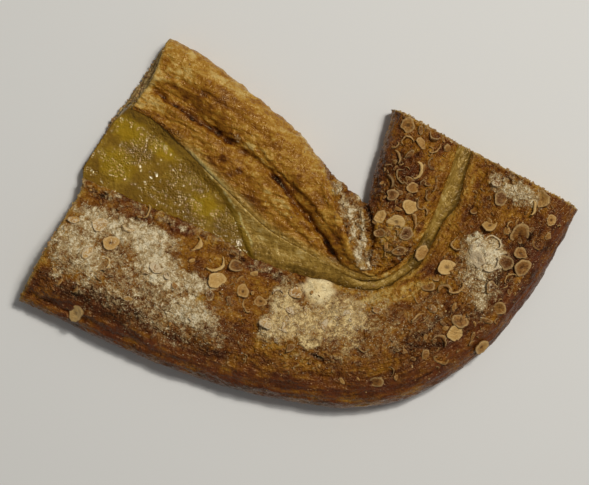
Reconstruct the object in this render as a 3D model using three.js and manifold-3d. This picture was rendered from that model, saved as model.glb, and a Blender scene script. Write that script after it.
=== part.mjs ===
// A bent length of Danish pastry stick, cut straight across at both ends: a sheet of laminated
// dough with its two long sides folded in over a custard filling. The folded sides are the outer
// flap, along the long outside of the bend, and the inner flap, which is creased lengthwise, ends
// in a rolled edge at the bend and starts again below it. Between the flaps the custard lies open
// near the left cut, and a pale strip of dough bulges up over it from there on. Sliced hazelnuts
// are baked onto the crust.
//
// Millimetres, +Z up. X and Y run as in a plan seen from above, the origin is under the middle of
// the outline, and the pastry lies on z = 0.

import * as THREE from 'three';
import { mergeVertices } from 'three/addons/utils/BufferGeometryUtils.js';
import Module from 'manifold-3d';

const wasm = await Module();
wasm.setup();

// ---------------------------------------------------------------- driving sizes, mm

// The plan of the bar, in rows that cross it from the outside of the bend to the inside.
// Row 0 is the left cut and the last row is the right cut. lips says where the outer flap and
// the inner flap end, as shares of the way across.
const ROWS = [
  { outer: [-144.6, -39.5], inner: [-66.6, 95.7], lips: [0.455, 0.735] },
  { outer: [-122.2, -49.9], inner: [-48.4, 86.3], lips: [0.463, 0.724] },
  { outer: [-76.4, -70.7], inner: [-12.0, 57.7], lips: [0.507, 0.66] },
  { outer: [-46.8, -81.1], inner: [3.6, 43.7], lips: [0.498, 0.624] },
  { outer: [-22.4, -87.9], inner: [14.0, 30.7], lips: [0.53, 0.632] },
  { outer: [1.0, -92.6], inner: [23.4, 20.3], lips: [0.557, 0.632] },
  { outer: [24.4, -95.2], inner: [32.2, 12.0], lips: [0.574, 0.626] },
  { outer: [47.8, -92.6], inner: [35.4, 9.4], lips: [0.573, 0.624] },
  { outer: [68.6, -84.8], inner: [36.1, 9.9], lips: [0.577, 0.62] },
  { outer: [86.8, -73.3], inner: [36.9, 10.9], lips: [0.576, 0.626] },
  { outer: [100.9, -61.9], inner: [37.4, 12.5], lips: [0.575, 0.642] },
  { outer: [112.3, -47.3], inner: [38.5, 17.7], lips: [0.578, 0.643] },
  { outer: [122.2, -34.3], inner: [40.0, 25.0], lips: [0.58, 0.641] },
  { outer: [130.0, -21.3], inner: [42.9, 34.8], lips: [0.55, 0.645] },
  { outer: [137.8, -7.3], inner: [46.4, 46.3], lips: [0.57, 0.646] },
  { outer: [145.1, 7.3], inner: [49.4, 59.3], lips: [0.578, 0.653] },
];
const LAST_ROW = ROWS.length - 1;

// Heights along the bar, as stops [row, mm].
const outerHeight = profile([[0, 21], [3, 24.5], [7, 26], [11, 25], [15, 22]]);
const outerLipHeight = profile([[0, 12.5], [3, 14], [7, 16], [15, 15.5]]);
const innerHeight = profile([[0, 16.5], [3, 19], [6, 20.5], [9, 19.5], [12, 20.5], [15, 21]]);
const innerLipHeight = profile([[0, 13.5], [4, 15], [7, 16.5], [9, 15.5], [15, 15.5]]);
const stripHeight = profile([[2, 11], [7, 12], [15, 13]]);
const stripBulge = profile([[2.5, 0.3], [4, 1.6], [8, 1.4], [15, 2]]);

// The floor of the open stretch, and where the strip rises from it: the rows where the rise
// starts at the outer and at the inner flap, and the rows that it takes.
const POOL_FLOOR = 5;
const STRIP_RISE = { atOuter: 2.5, atInner: 1.25, run: 0.6 };

const WALL_WIDEST = 7; // height at which the side walls reach furthest out
const WALL_TUCK = 3.5; // how far the side walls tuck in at the foot
const LIP_RADIUS = 2.1; // the rolled edge of each flap
const OUTER_RIDGE = 0.44; // where the outer flap is highest, as a share of its width
const INNER_FULL = 0.55; // how far across the inner flap reaches its full height
const INNER_ROUND = 13; // width of the rounding along the inner edge
const ROUNDNESS = 2.3; // exponent of the rounded shoulders

// Broad swells of the crust: their height, their length along X and Y in radians per mm, turned
// over, and where each starts. They fade towards the lips down to LIP_SWELL.
const SWELLS = [
  { height: 0.55, lengthX: 11, lengthY: 17, start: 0.6 },
  { height: 0.45, lengthX: 7.5, lengthY: -9, start: 2.1 },
  { height: 0.3, lengthX: 4.6, lengthY: 5.2, start: 4 },
];
const LIP_SWELL = 0.4;

// The crease along the inner flap, from the left cut to the flap's tip.
const creaseAcross = profile([[0, 0.33], [1.5, 0.42], [3, 0.5], [3.8, 0.42], [4.6, 0.3], [5.6, 0.08]]);
const creaseDepth = profile([[0, 3.2], [1.2, 3.8], [2.4, 2.2], [3.2, 4.2], [4.8, 4], [5.8, 0]]);
const CREASE_WIDTH = 0.085;

// The rolled end of the inner flap at the bend: its row, as stops [share across the flap, row].
const flapEnd = profile([[0, 7.85], [0.13, 6.45], [0.34, 5.8], [0.59, 5.25], [0.8, 4.6], [1, 3.9]]);
const FLAP_END_DROP = 6.5; // from the rolled end down to the flap that starts below it
const FLAP_END_ROLL = { rise: 1.6, before: 0.25, width: 0.3 }; // the roll itself, in mm and rows
const FLAP_END_RUN = 0.4; // rows that the drop takes
const BOWL = { start: 0.6, run: 3 }; // rows in which the lower flap comes up to full height again

// The line where the dough sheet folds over, low on the outside near the left cut.
const FOLD_LINE = { from: 5.8, width: 1.6, depth: 1.3, fade: [1.6, 1.4] };

// The crust of melted sugar on the outer flap.
const SUGAR_CRUST = { at: [4, -52], half: [26, 18], rise: 1.3, edge: [0.8, 0.25] };

// The custard.
const CUSTARD_BASE = 4.6;
const custardTop = profile([[0, 9.6], [2.4, 9.8], [3.2, 8.8], [15, 8.6]]);
const CUSTARD_UNDER = 8; // how far it runs in under each flap
const CUSTARD_EDGE = 1.1; // its thickness at its edges
const CUSTARD_EDGE_LEVEL = 0.62; // how high its edges lie between its base and its top
const CUSTARD_RIPPLE = { height: 0.35, lengthX: 4.1, lengthY: 6.3 };
const CUSTARD_GAP = 0.3; // between the custard and the dough round it
const PAST_CUTS = 10; // how far the room for the custard runs out past both cuts

// The left cut steps out where the open custard is. Under the inner flap its foot stands out, and
// the cut leans back above the foot.
const CUT_BULGE = { run: 5, shares: [0.41, 0.5, 0.501, 0.93] };
const CUT_FOOT = { run: 1.4, shares: [0.6, 0.68, 0.93, 1], height: 5, fade: 2 };
const CUT_LEAN = { run: 3.4, shares: [0.66, 0.76, 0.84, 1], height: 3, fade: 9 };
const CUT_FADE = 1.1; // rows over which all three fade out

// Resolution of the solids.
const STATIONS = 53;
const CUSTARD_STATIONS = 26;
const FINE_STEPS = 600;
const STEPS = {
  underside: 6, wall: 2, rise: 7, fall: 7, lip: 3, floor: 5, flap: 9, shoulder: 4,
  custardBase: 6, custardTop: 9,
};
const FOOT_POINT = { tuck: 0.3, height: 0.35 }; // the inner wall's one point, as shares
const LIP_OVERLAP = 1; // how far the floor runs in under each lip

// Hazelnuts.
const SLICE_THICKNESS = 1.3;
const SLICE_SINK = 0.45;
const SLICE_LEVEL = 0.25; // how far a slice turns back from the slope below it to level
const SLICE_OVAL = 0.88;
const SIDES = { slice: 8, crescent: 4, chip: 5 };
const UNEVEN = { slice: [0.92, 1.06], chip: [0.6, 1.05] }; // least and most reach of a corner
const CRESCENT_HOLLOW = { half: 0.3, depth: 0.2 };
const CHIP_SIZE = 0.75; // of a scattered chip against a scattered slice
// Slices that stand out, as [x, y, radius, kind, turn in degrees].
const LANDMARK_NUTS = [
  [-96.2, -9.9, 4.4, 'slice', 0],
  [-113.9, -45.8, 4.6, 'slice', 30],
  [-86.8, -1.0, 4.2, 'crescent', 200],
  [-79.6, 6.2, 4.0, 'crescent', 250],
  [-102.0, -0.5, 4.0, 'slice', 10],
  [-115.4, 1.8, 3.4, 'chip', 0],
  [-107.9, -15.1, 3.6, 'chip', 40],
  [-99.0, -19.6, 3.2, 'crescent', 300],
  [-42.6, -20.8, 5.0, 'crescent', 215],
  [-53.8, -9.6, 4.6, 'crescent', 240],
  [-32.0, -21.8, 4.0, 'slice', 0],
  [-25.5, -17.2, 4.4, 'crescent', 100],
  [-42.1, -29.1, 4.6, 'slice', 20],
  [-16.6, -51.5, 3.8, 'slice', 60],
  [76.4, -22.4, 4.6, 'slice', 0],
  [80.0, -55.8, 4.4, 'slice', 20],
  [93.9, -63.2, 4.0, 'slice', 0],
  [113.4, -5.0, 5.4, 'slice', 15],
  [98.5, -1.0, 4.4, 'slice', 40],
  [99.8, -9.9, 4.4, 'crescent', 320],
  [118.4, 7.8, 4.4, 'crescent', 260],
  [125.3, 12.5, 4.4, 'slice', 70],
  [114.4, -22.4, 4.6, 'slice', 10],
  [50.4, 1.0, 4.6, 'slice', 0],
  [42.1, 3.6, 3.8, 'chip', 20],
  [57.2, 8.8, 4.2, 'slice', 0],
  [60.6, 28.1, 4.6, 'crescent', 270],
  [64.0, -14.6, 4.6, 'chip', 65],
];
// Scattered ones, by zone: rows and shares across that the zone spans, and how many of each kind.
const NUT_SEED = 6406;
const NUT_SPACING = 6.4;
const NUT_TRIES = 400;
const NUT_ZONES = [
  { rows: [0.3, 2.6], shares: [0.1, 0.42], slice: 2, crescent: 3, chip: 4, radius: [2.6, 3.8] },
  { rows: [2.0, 4.3], shares: [0.3, 0.47], slice: 3, crescent: 3, chip: 4, radius: [2.6, 4.2] },
  { rows: [4.0, 8.0], shares: [0.12, 0.5], slice: 2, crescent: 2, chip: 4, radius: [2.4, 3.6] },
  { rows: [8.0, 14.8], shares: [0.08, 0.46], slice: 9, crescent: 9, chip: 9, radius: [2.8, 4.8] },
  { rows: [8.2, 14.8], shares: [0.7, 0.93], slice: 6, crescent: 10, chip: 8, radius: [2.8, 4.6] },
];

// Flakes of dough that stand out of the cuts: half their length, their thickness, how far they
// reach in and out, and their outline from the root, as shares of half and reach. Then where they
// are, as [row, share across, height].
const FLAKE = {
  half: 4.2,
  thickness: 0.7,
  reach: 1.6,
  outline: [[-1, -1], [1, -1], [0.8, 0.7], [0.1, 1], [-0.7, 0.5]],
};
const FLAKES = [
  [0, 0.08, 3.5], [0, 0.2, 9], [0, 0.33, 5.5], [0, 0.86, 6.5], [0, 0.94, 3.2], [0, 0.3, 14],
  [LAST_ROW, 0.06, 4], [LAST_ROW, 0.16, 11], [LAST_ROW, 0.3, 15], [LAST_ROW, 0.42, 3.4],
  [LAST_ROW, 0.74, 13], [LAST_ROW, 0.86, 5], [LAST_ROW, 0.95, 9],
];

const PASTRY_COLOUR = 0x9a6430;
const CUSTARD_COLOUR = 0xb08f3a;

// ---------------------------------------------------------------- small helpers

function mix(a, b, share) {
  return a + (b - a) * share;
}

function ease(x) {
  const share = Math.min(1, Math.max(0, x));
  return share * share * (3 - 2 * share);
}

// A smooth line through stops [position, value], level at each stop.
function profile(stops) {
  return (position) => {
    if (position <= stops[0][0]) {
      return stops[0][1];
    }
    for (let i = 1; i < stops.length; i += 1) {
      if (position <= stops[i][0]) {
        const share = (position - stops[i - 1][0]) / (stops[i][0] - stops[i - 1][0]);
        return mix(stops[i - 1][1], stops[i][1], ease(share));
      }
    }
    return stops[stops.length - 1][1];
  };
}

// 0 outside shares[0] to shares[3], 1 between shares[1] and shares[2], smooth in between.
function windowOf(x, shares) {
  const rise = ease((x - shares[0]) / (shares[1] - shares[0]));
  const fall = ease((x - shares[2]) / (shares[3] - shares[2]));
  return rise * (1 - fall);
}

// A repeatable draw from 0 to 1.
function seededDraw(seed) {
  let state = seed;
  return () => {
    state = (state * 16807) % 2147483647;
    return state / 2147483647;
  };
}

// ---------------------------------------------------------------- the bar's plan

const outerEdge = new THREE.SplineCurve(ROWS.map((row) => new THREE.Vector2(...row.outer)));
const innerEdge = new THREE.SplineCurve(ROWS.map((row) => new THREE.Vector2(...row.inner)));
const lipShares = new THREE.SplineCurve(ROWS.map((row) => new THREE.Vector2(...row.lips)));

// The row's line across the bar: where it starts, its direction, its width and its lips.
function rowLine(row) {
  const share = Math.min(1, Math.max(0, row / LAST_ROW));
  const outer = outerEdge.getPoint(share);
  const across = innerEdge.getPoint(share).sub(outer);
  const lips = lipShares.getPoint(share);
  const width = across.length();
  return {
    outer,
    across: across.divideScalar(width),
    width,
    outerLip: lips.x * width,
    innerLip: lips.y * width,
  };
}

// The way out of the bar at the left cut.
const leftCut = rowLine(0);
const outOfLeftCut = new THREE.Vector2(-leftCut.across.y, leftCut.across.x);
const rightCut = rowLine(LAST_ROW);
const outOfRightCut = new THREE.Vector2(rightCut.across.y, -rightCut.across.x);

// The point at distance w across the row and height z.
function place(row, line, w, z) {
  const share = w / line.width;
  const bulge = CUT_BULGE.run * windowOf(share, CUT_BULGE.shares);
  const low = 1 - ease((z - CUT_FOOT.height) / CUT_FOOT.fade);
  const foot = CUT_FOOT.run * windowOf(share, CUT_FOOT.shares) * low;
  const high = ease((z - CUT_LEAN.height) / CUT_LEAN.fade);
  const lean = CUT_LEAN.run * windowOf(share, CUT_LEAN.shares) * high;
  const out = (1 - ease(row / CUT_FADE)) * (bulge + foot - lean);
  return new THREE.Vector3(
    line.outer.x + line.across.x * w + outOfLeftCut.x * out,
    line.outer.y + line.across.y * w + outOfLeftCut.y * out,
    z,
  );
}

// Rows that are evenly spaced along the middle of the bar.
function evenRows(count) {
  const middle = (row) => {
    const line = rowLine(row);
    return line.outer.clone().addScaledVector(line.across, line.width / 2);
  };
  const lengths = [0];
  for (let i = 1; i <= FINE_STEPS; i += 1) {
    const from = middle(((i - 1) / FINE_STEPS) * LAST_ROW);
    const to = middle((i / FINE_STEPS) * LAST_ROW);
    lengths.push(lengths[i - 1] + from.distanceTo(to));
  }
  const total = lengths[FINE_STEPS];
  const rows = [];
  let step = 0;
  for (let i = 0; i < count; i += 1) {
    const wanted = (i / (count - 1)) * total;
    while (step < FINE_STEPS - 1 && lengths[step + 1] < wanted) {
      step += 1;
    }
    const share = (wanted - lengths[step]) / (lengths[step + 1] - lengths[step]);
    rows.push(((step + Math.min(1, share)) / FINE_STEPS) * LAST_ROW);
  }
  return rows;
}

// ---------------------------------------------------------------- the dough's section

// The crust's swells, in mm, at a place in plan.
function swell(x, y) {
  return SWELLS.reduce(
    (sum, { height, lengthX, lengthY, start }) =>
      sum + height * Math.sin(x / lengthX + y / lengthY + start),
    0,
  );
}

function sugarCrustRise(x, y) {
  const u = (x - SUGAR_CRUST.at[0]) / SUGAR_CRUST.half[0];
  const v = (y - SUGAR_CRUST.at[1]) / SUGAR_CRUST.half[1];
  const [start, run] = SUGAR_CRUST.edge;
  return SUGAR_CRUST.rise * (1 - ease((Math.hypot(u, v) - start) / run));
}

// The share of full height that a rounded shoulder reaches, from 0 at the wall to 1.
function shoulder(share) {
  return Math.pow(Math.max(0, 1 - Math.pow(1 - Math.min(1, share), ROUNDNESS)), 1 / ROUNDNESS);
}

// The outer flap's top, at distance w from the outer edge.
function outerTop(row, line, w) {
  const ridge = OUTER_RIDGE * line.outerLip;
  const height = outerHeight(row);
  if (w <= ridge) {
    const offFold = (w - FOLD_LINE.from) / FOLD_LINE.width;
    const fade = 1 - ease((row - FOLD_LINE.fade[0]) / FOLD_LINE.fade[1]);
    const fold = fade * FOLD_LINE.depth * Math.exp(-offFold * offFold);
    return WALL_WIDEST + (height - WALL_WIDEST) * shoulder(w / ridge) - fold;
  }
  const fall = (w - ridge) / (line.outerLip - LIP_RADIUS - ridge);
  return mix(height, outerLipHeight(row), ease(fall));
}

// The inner flap's top, at distance w from the outer edge.
function innerTop(row, line, w) {
  const across = (w - line.innerLip) / (line.width - line.innerLip);
  let height = mix(innerLipHeight(row), innerHeight(row), ease(across / INNER_FULL));
  const offCrease = (across - creaseAcross(row)) / CREASE_WIDTH;
  height -= creaseDepth(row) * Math.exp(-offCrease * offCrease);
  const pastEnd = row - flapEnd(across);
  const offRoll = (pastEnd + FLAP_END_ROLL.before) / FLAP_END_ROLL.width;
  height += FLAP_END_ROLL.rise * Math.exp(-offRoll * offRoll);
  const drop = ease(pastEnd / FLAP_END_RUN) * (1 - ease((pastEnd - BOWL.start) / BOWL.run));
  height -= FLAP_END_DROP * drop;
  const round = (line.width - w) / INNER_ROUND;
  return WALL_WIDEST + (height - WALL_WIDEST) * shoulder(round);
}

// One closed section, as [distance across, height] from the foot of the inner wall round to it.
function doughSection(row, line) {
  const section = [];
  const { width, outerLip, innerLip } = line;
  const quarter = Math.PI / 2;
  const onTop = (w, z, share) => {
    const x = line.outer.x + line.across.x * w;
    const y = line.outer.y + line.across.y * w;
    section.push([w, z + share * (swell(x, y) + sugarCrustRise(x, y))]);
  };
  // foot to foot along the underside
  for (let i = 0; i < STEPS.underside; i += 1) {
    section.push([mix(width - WALL_TUCK, WALL_TUCK, i / STEPS.underside), 0]);
  }
  // up the outer wall
  for (let i = 0; i < STEPS.wall; i += 1) {
    const turn = (i / STEPS.wall) * quarter;
    section.push([WALL_TUCK * (1 - Math.sin(turn)), WALL_WIDEST * (1 - Math.cos(turn))]);
  }
  // over the outer flap
  const ridge = OUTER_RIDGE * outerLip;
  for (let i = 0; i < STEPS.rise; i += 1) {
    const turn = (i / STEPS.rise) * quarter;
    const w = ridge * (1 - Math.pow(Math.cos(turn), 2 / ROUNDNESS));
    onTop(w, outerTop(row, line, w), Math.sin(turn));
  }
  for (let i = 0; i < STEPS.fall; i += 1) {
    const w = mix(ridge, outerLip - LIP_RADIUS, i / STEPS.fall);
    onTop(w, outerTop(row, line, w), mix(1, LIP_SWELL, i / STEPS.fall));
  }
  // round the outer flap's rolled edge
  const outerRoll = outerLipHeight(row) - LIP_RADIUS;
  for (let i = 0; i <= STEPS.lip; i += 1) {
    const turn = quarter - (i / STEPS.lip) * Math.PI;
    section.push([
      outerLip - LIP_RADIUS + LIP_RADIUS * Math.cos(turn),
      outerRoll + LIP_RADIUS * Math.sin(turn),
    ]);
  }
  // the floor between the flaps
  for (let i = 1; i < STEPS.floor; i += 1) {
    const share = i / STEPS.floor;
    const start = mix(STRIP_RISE.atOuter, STRIP_RISE.atInner, share);
    const strip = stripHeight(row) + stripBulge(row) * Math.sin(share * Math.PI);
    const floor = mix(POOL_FLOOR, strip, ease((row - start) / STRIP_RISE.run));
    section.push([mix(outerLip - LIP_OVERLAP, innerLip + LIP_OVERLAP, share), floor]);
  }
  // round the inner flap's rolled edge
  const innerRoll = innerLipHeight(row) - LIP_RADIUS;
  for (let i = 0; i <= STEPS.lip; i += 1) {
    const turn = -quarter - (i / STEPS.lip) * Math.PI;
    section.push([
      innerLip + LIP_RADIUS + LIP_RADIUS * Math.cos(turn),
      innerRoll + LIP_RADIUS * Math.sin(turn),
    ]);
  }
  // over the inner flap
  for (let i = 1; i <= STEPS.flap; i += 1) {
    const w = mix(innerLip + LIP_RADIUS, width - INNER_ROUND, i / STEPS.flap);
    onTop(w, innerTop(row, line, w), mix(LIP_SWELL, 1, i / STEPS.flap));
  }
  for (let i = 1; i <= STEPS.shoulder; i += 1) {
    const turn = (1 - i / STEPS.shoulder) * quarter;
    const w = width - INNER_ROUND * (1 - Math.pow(Math.cos(turn), 2 / ROUNDNESS));
    onTop(w, innerTop(row, line, w), Math.sin(turn));
  }
  // down the inner wall
  section.push([width - WALL_TUCK * FOOT_POINT.tuck, WALL_WIDEST * FOOT_POINT.height]);
  return section;
}

// One closed section of the custard, grown by gap on every side.
function custardSection(row, line, gap) {
  const from = line.outerLip - CUSTARD_UNDER - gap;
  const to = line.innerLip + CUSTARD_UNDER + gap;
  const top = custardTop(row);
  const edge = mix(CUSTARD_BASE, top, CUSTARD_EDGE_LEVEL);
  const bow = (share) => Math.pow(Math.abs(2 * share - 1), 3);
  const section = [];
  for (let i = 0; i <= STEPS.custardBase; i += 1) {
    const share = i / STEPS.custardBase;
    const lift = (edge - CUSTARD_EDGE / 2 - CUSTARD_BASE) * bow(share);
    section.push([mix(to, from, share), CUSTARD_BASE + lift - gap]);
  }
  const { height, lengthX, lengthY } = CUSTARD_RIPPLE;
  for (let i = 0; i <= STEPS.custardTop; i += 1) {
    const share = i / STEPS.custardTop;
    const w = mix(from, to, share);
    const { x, y } = line.outer.clone().addScaledVector(line.across, w);
    const fall = (top - edge - CUSTARD_EDGE / 2) * bow(share);
    const ripple = height * Math.sin(x / lengthX + y / lengthY) * Math.sin(share * Math.PI);
    section.push([w, top - fall + ripple + gap]);
  }
  return section;
}

// ---------------------------------------------------------------- solids

const MERGE_WITHIN = 1e-4;

// A closed geometry through rings of points, with flat [across, height] outlines for its ends.
function loft(rings, firstOutline, lastOutline) {
  const count = rings[0].length;
  const positions = rings.flat().flatMap((point) => point.toArray());
  const index = [];
  for (let i = 0; i < rings.length - 1; i += 1) {
    for (let j = 0; j < count; j += 1) {
      const a = i * count + j;
      const b = i * count + ((j + 1) % count);
      index.push(b, a, a + count, a + count, b + count, b);
    }
  }
  const cap = (outline, start, facing) => {
    const flat = outline.map(([w, z]) => new THREE.Vector2(w, z));
    for (const [a, b, c] of THREE.ShapeUtils.triangulateShape(flat, [])) {
      const turns = Math.sign(THREE.ShapeUtils.area([flat[a], flat[b], flat[c]]));
      const [second, third] = turns === facing ? [b, c] : [c, b];
      index.push(start + a, start + second, start + third);
    }
  };
  cap(firstOutline, 0, -1);
  cap(lastOutline, (rings.length - 1) * count, 1);
  const geometry = new THREE.BufferGeometry();
  geometry.setAttribute('position', new THREE.Float32BufferAttribute(positions, 3));
  geometry.setIndex(index);
  return geometry;
}

function toSolid(geometry) {
  const bare = geometry.clone();
  bare.deleteAttribute('normal');
  bare.deleteAttribute('uv');
  const merged = mergeVertices(bare, MERGE_WITHIN);
  return new wasm.Manifold(
    new wasm.Mesh({
      numProp: 3,
      vertProperties: new Float32Array(merged.attributes.position.array),
      triVerts: new Uint32Array(merged.index.array),
    }),
  );
}

function toGeometry(solid) {
  const mesh = solid.getMesh();
  const geometry = new THREE.BufferGeometry();
  geometry.setAttribute('position', new THREE.Float32BufferAttribute(mesh.vertProperties, 3));
  geometry.setIndex(Array.from(mesh.triVerts));
  geometry.computeVertexNormals();
  return geometry;
}

// The outline and the ring of points at each row of a section.
function sections(count, sectionAt) {
  const rows = evenRows(count);
  const outlines = rows.map((row) => sectionAt(row, rowLine(row)));
  const rings = rows.map((row, i) => {
    const line = rowLine(row);
    return outlines[i].map(([w, z]) => place(row, line, w, z));
  });
  return { outlines, rings };
}

function doughForm() {
  const { outlines, rings } = sections(STATIONS, doughSection);
  return loft(rings, outlines[0], outlines[outlines.length - 1]);
}

// The custard, or with a gap the room that it takes in the dough, run out past both cuts.
function custardForm(gap) {
  const sectionAt = (row, line) => custardSection(row, line, gap);
  const { outlines, rings } = sections(CUSTARD_STATIONS, sectionAt);
  if (gap > 0) {
    const moved = (ring, way) => {
      const step = new THREE.Vector3(way.x, way.y, 0).multiplyScalar(PAST_CUTS);
      return ring.map((point) => point.clone().add(step));
    };
    rings.unshift(moved(rings[0], outOfLeftCut));
    rings.push(moved(rings[rings.length - 1], outOfRightCut));
  }
  return loft(rings, outlines[0], outlines[outlines.length - 1]);
}

// ---------------------------------------------------------------- hazelnuts and flakes

// A slice, a half-moon broken from one, or a chip, as a flat prism round the origin.
function nutGeometry(kind, radius, draw) {
  const outline = new THREE.Shape();
  const points = [];
  const sides = SIDES[kind];
  if (kind === 'crescent') {
    for (let i = 0; i <= sides; i += 1) {
      const turn = (i / sides) * Math.PI;
      points.push([radius * Math.cos(turn), radius * Math.sin(turn)]);
    }
    const { half, depth } = CRESCENT_HOLLOW;
    points.push([-radius * half, radius * depth], [radius * half, radius * depth]);
  } else {
    for (let i = 0; i < sides; i += 1) {
      const turn = (i / sides) * Math.PI * 2;
      const reach = radius * mix(...UNEVEN[kind], draw());
      points.push([reach * Math.cos(turn), reach * SLICE_OVAL * Math.sin(turn)]);
    }
  }
  outline.setFromPoints(points.map(([x, y]) => new THREE.Vector2(x, y)));
  const geometry = new THREE.ExtrudeGeometry(outline, { depth: SLICE_THICKNESS, bevelEnabled: false });
  geometry.translate(0, 0, -SLICE_THICKNESS / 2);
  return geometry;
}

// Where each nut goes: the landmarks, then the scattered ones, which keep their distance.
function nutPlaces() {
  const nuts = LANDMARK_NUTS.map(([x, y, radius, kind, degrees]) => ({
    x, y, radius, kind, turn: THREE.MathUtils.degToRad(degrees),
  }));
  const draw = seededDraw(NUT_SEED);
  for (const zone of NUT_ZONES) {
    for (const kind of ['slice', 'crescent', 'chip']) {
      let left = zone[kind];
      for (let tries = 0; left > 0 && tries < NUT_TRIES; tries += 1) {
        const line = rowLine(mix(...zone.rows, draw()));
        const w = mix(...zone.shares, draw()) * line.width;
        const x = line.outer.x + line.across.x * w;
        const y = line.outer.y + line.across.y * w;
        const radius = mix(...zone.radius, draw()) * (kind === 'chip' ? CHIP_SIZE : 1);
        const turn = draw() * Math.PI * 2;
        if (nuts.every((nut) => Math.hypot(nut.x - x, nut.y - y) > NUT_SPACING)) {
          nuts.push({ x, y, radius, kind, turn });
          left -= 1;
        }
      }
    }
  }
  return nuts;
}

const ABOVE_ALL = 100; // a height that is clear of the pastry

// The nuts, laid on the dough where it lies below them and turned to its slope.
function nutSolids(doughGeometry) {
  const surface = new THREE.Mesh(doughGeometry, new THREE.MeshBasicMaterial());
  const ray = new THREE.Raycaster();
  const down = new THREE.Vector3(0, 0, -1);
  const up = new THREE.Vector3(0, 0, 1);
  const draw = seededDraw(NUT_SEED + 1);
  const solids = [];
  for (const nut of nutPlaces()) {
    ray.set(new THREE.Vector3(nut.x, nut.y, ABOVE_ALL), down);
    const [hit] = ray.intersectObject(surface);
    const normal = hit.face.normal.clone().lerp(up, SLICE_LEVEL).normalize();
    const lie = new THREE.Quaternion().setFromUnitVectors(up, normal);
    const spin = new THREE.Quaternion().setFromAxisAngle(up, nut.turn);
    const geometry = nutGeometry(nut.kind, nut.radius, draw);
    geometry.applyQuaternion(lie.multiply(spin));
    const lift = SLICE_THICKNESS / 2 - SLICE_SINK;
    geometry.translate(...hit.point.addScaledVector(normal, lift).toArray());
    solids.push(toSolid(geometry));
  }
  return solids;
}

// Thin flakes that stand out of the cut faces.
function flakeSolids() {
  return FLAKES.map(([row, share, z]) => {
    const line = rowLine(row);
    const out = row === 0 ? outOfLeftCut : outOfRightCut;
    const outline = new THREE.Shape();
    const { half, reach, thickness } = FLAKE;
    outline.setFromPoints(FLAKE.outline.map(([x, y]) => new THREE.Vector2(x * half, y * reach)));
    const geometry = new THREE.ExtrudeGeometry(outline, { depth: thickness, bevelEnabled: false });
    geometry.rotateZ(Math.atan2(-out.x, out.y));
    const at = place(row, line, share * line.width, z);
    geometry.translate(at.x, at.y, at.z);
    return toSolid(geometry);
  });
}

// ---------------------------------------------------------------- the pastry

function pastryGeometry() {
  const form = doughForm();
  let solid = toSolid(form);
  for (const piece of [...nutSolids(form), ...flakeSolids()]) {
    solid = solid.add(piece);
  }
  solid = solid.subtract(toSolid(custardForm(CUSTARD_GAP)));
  const [largest] = solid.decompose().sort((a, b) => b.volume() - a.volume());
  return toGeometry(largest);
}

const group = new THREE.Group();

const pastry = new THREE.Mesh(
  pastryGeometry(),
  new THREE.MeshStandardMaterial({ color: PASTRY_COLOUR, roughness: 0.7, metalness: 0 }),
);
pastry.name = 'pastry';
group.add(pastry);

const custard = new THREE.Mesh(
  custardForm(0),
  new THREE.MeshStandardMaterial({ color: CUSTARD_COLOUR, roughness: 0.25, metalness: 0 }),
);
custard.name = 'custard';
group.add(custard);

export default group;
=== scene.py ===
"""The looks of a bent, cut length of Danish pastry stick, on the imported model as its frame.

The dough and the custard are made again from the same sizes as the solids, with fine relief, and
replace them. Sliced hazelnuts, sugar grains, flakes and crumbs are pieces of their own. Sizes are
in mm and become metres only where a mesh is made. Levels of baking run from 0, raw, to 1, burnt.
"""

import math

import bpy
import numpy as np
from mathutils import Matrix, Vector
from mathutils.bvhtree import BVHTree


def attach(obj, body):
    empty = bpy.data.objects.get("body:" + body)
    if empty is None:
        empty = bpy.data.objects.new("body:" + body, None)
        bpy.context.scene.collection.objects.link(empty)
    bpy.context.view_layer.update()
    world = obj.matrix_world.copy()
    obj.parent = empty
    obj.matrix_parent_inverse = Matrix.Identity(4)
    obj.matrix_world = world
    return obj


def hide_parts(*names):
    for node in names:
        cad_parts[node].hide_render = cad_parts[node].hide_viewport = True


MM = 0.001

# ---------------------------------------------------------------- sizes shared with the solids

# Rows across the bar, from the left cut to the right cut: outer edge, inner edge, and where the
# outer and the inner flap end, as shares of the way across.
OUTER_EDGE = [
    (-144.6, -39.5), (-122.2, -49.9), (-76.4, -70.7), (-46.8, -81.1), (-22.4, -87.9),
    (1.0, -92.6), (24.4, -95.2), (47.8, -92.6), (68.6, -84.8), (86.8, -73.3), (100.9, -61.9),
    (112.3, -47.3), (122.2, -34.3), (130.0, -21.3), (137.8, -7.3), (145.1, 7.3),
]
INNER_EDGE = [
    (-66.6, 95.7), (-48.4, 86.3), (-12.0, 57.7), (3.6, 43.7), (14.0, 30.7), (23.4, 20.3),
    (32.2, 12.0), (35.4, 9.4), (36.1, 9.9), (36.9, 10.9), (37.4, 12.5), (38.5, 17.7),
    (40.0, 25.0), (42.9, 34.8), (46.4, 46.3), (49.4, 59.3),
]
LIP_SHARES = [
    (0.455, 0.735), (0.463, 0.724), (0.507, 0.66), (0.498, 0.624), (0.53, 0.632),
    (0.557, 0.632), (0.574, 0.626), (0.573, 0.624), (0.577, 0.62), (0.576, 0.626),
    (0.575, 0.642), (0.578, 0.643), (0.58, 0.641), (0.55, 0.645), (0.57, 0.646),
    (0.578, 0.653),
]
LAST_ROW = len(OUTER_EDGE) - 1

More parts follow.
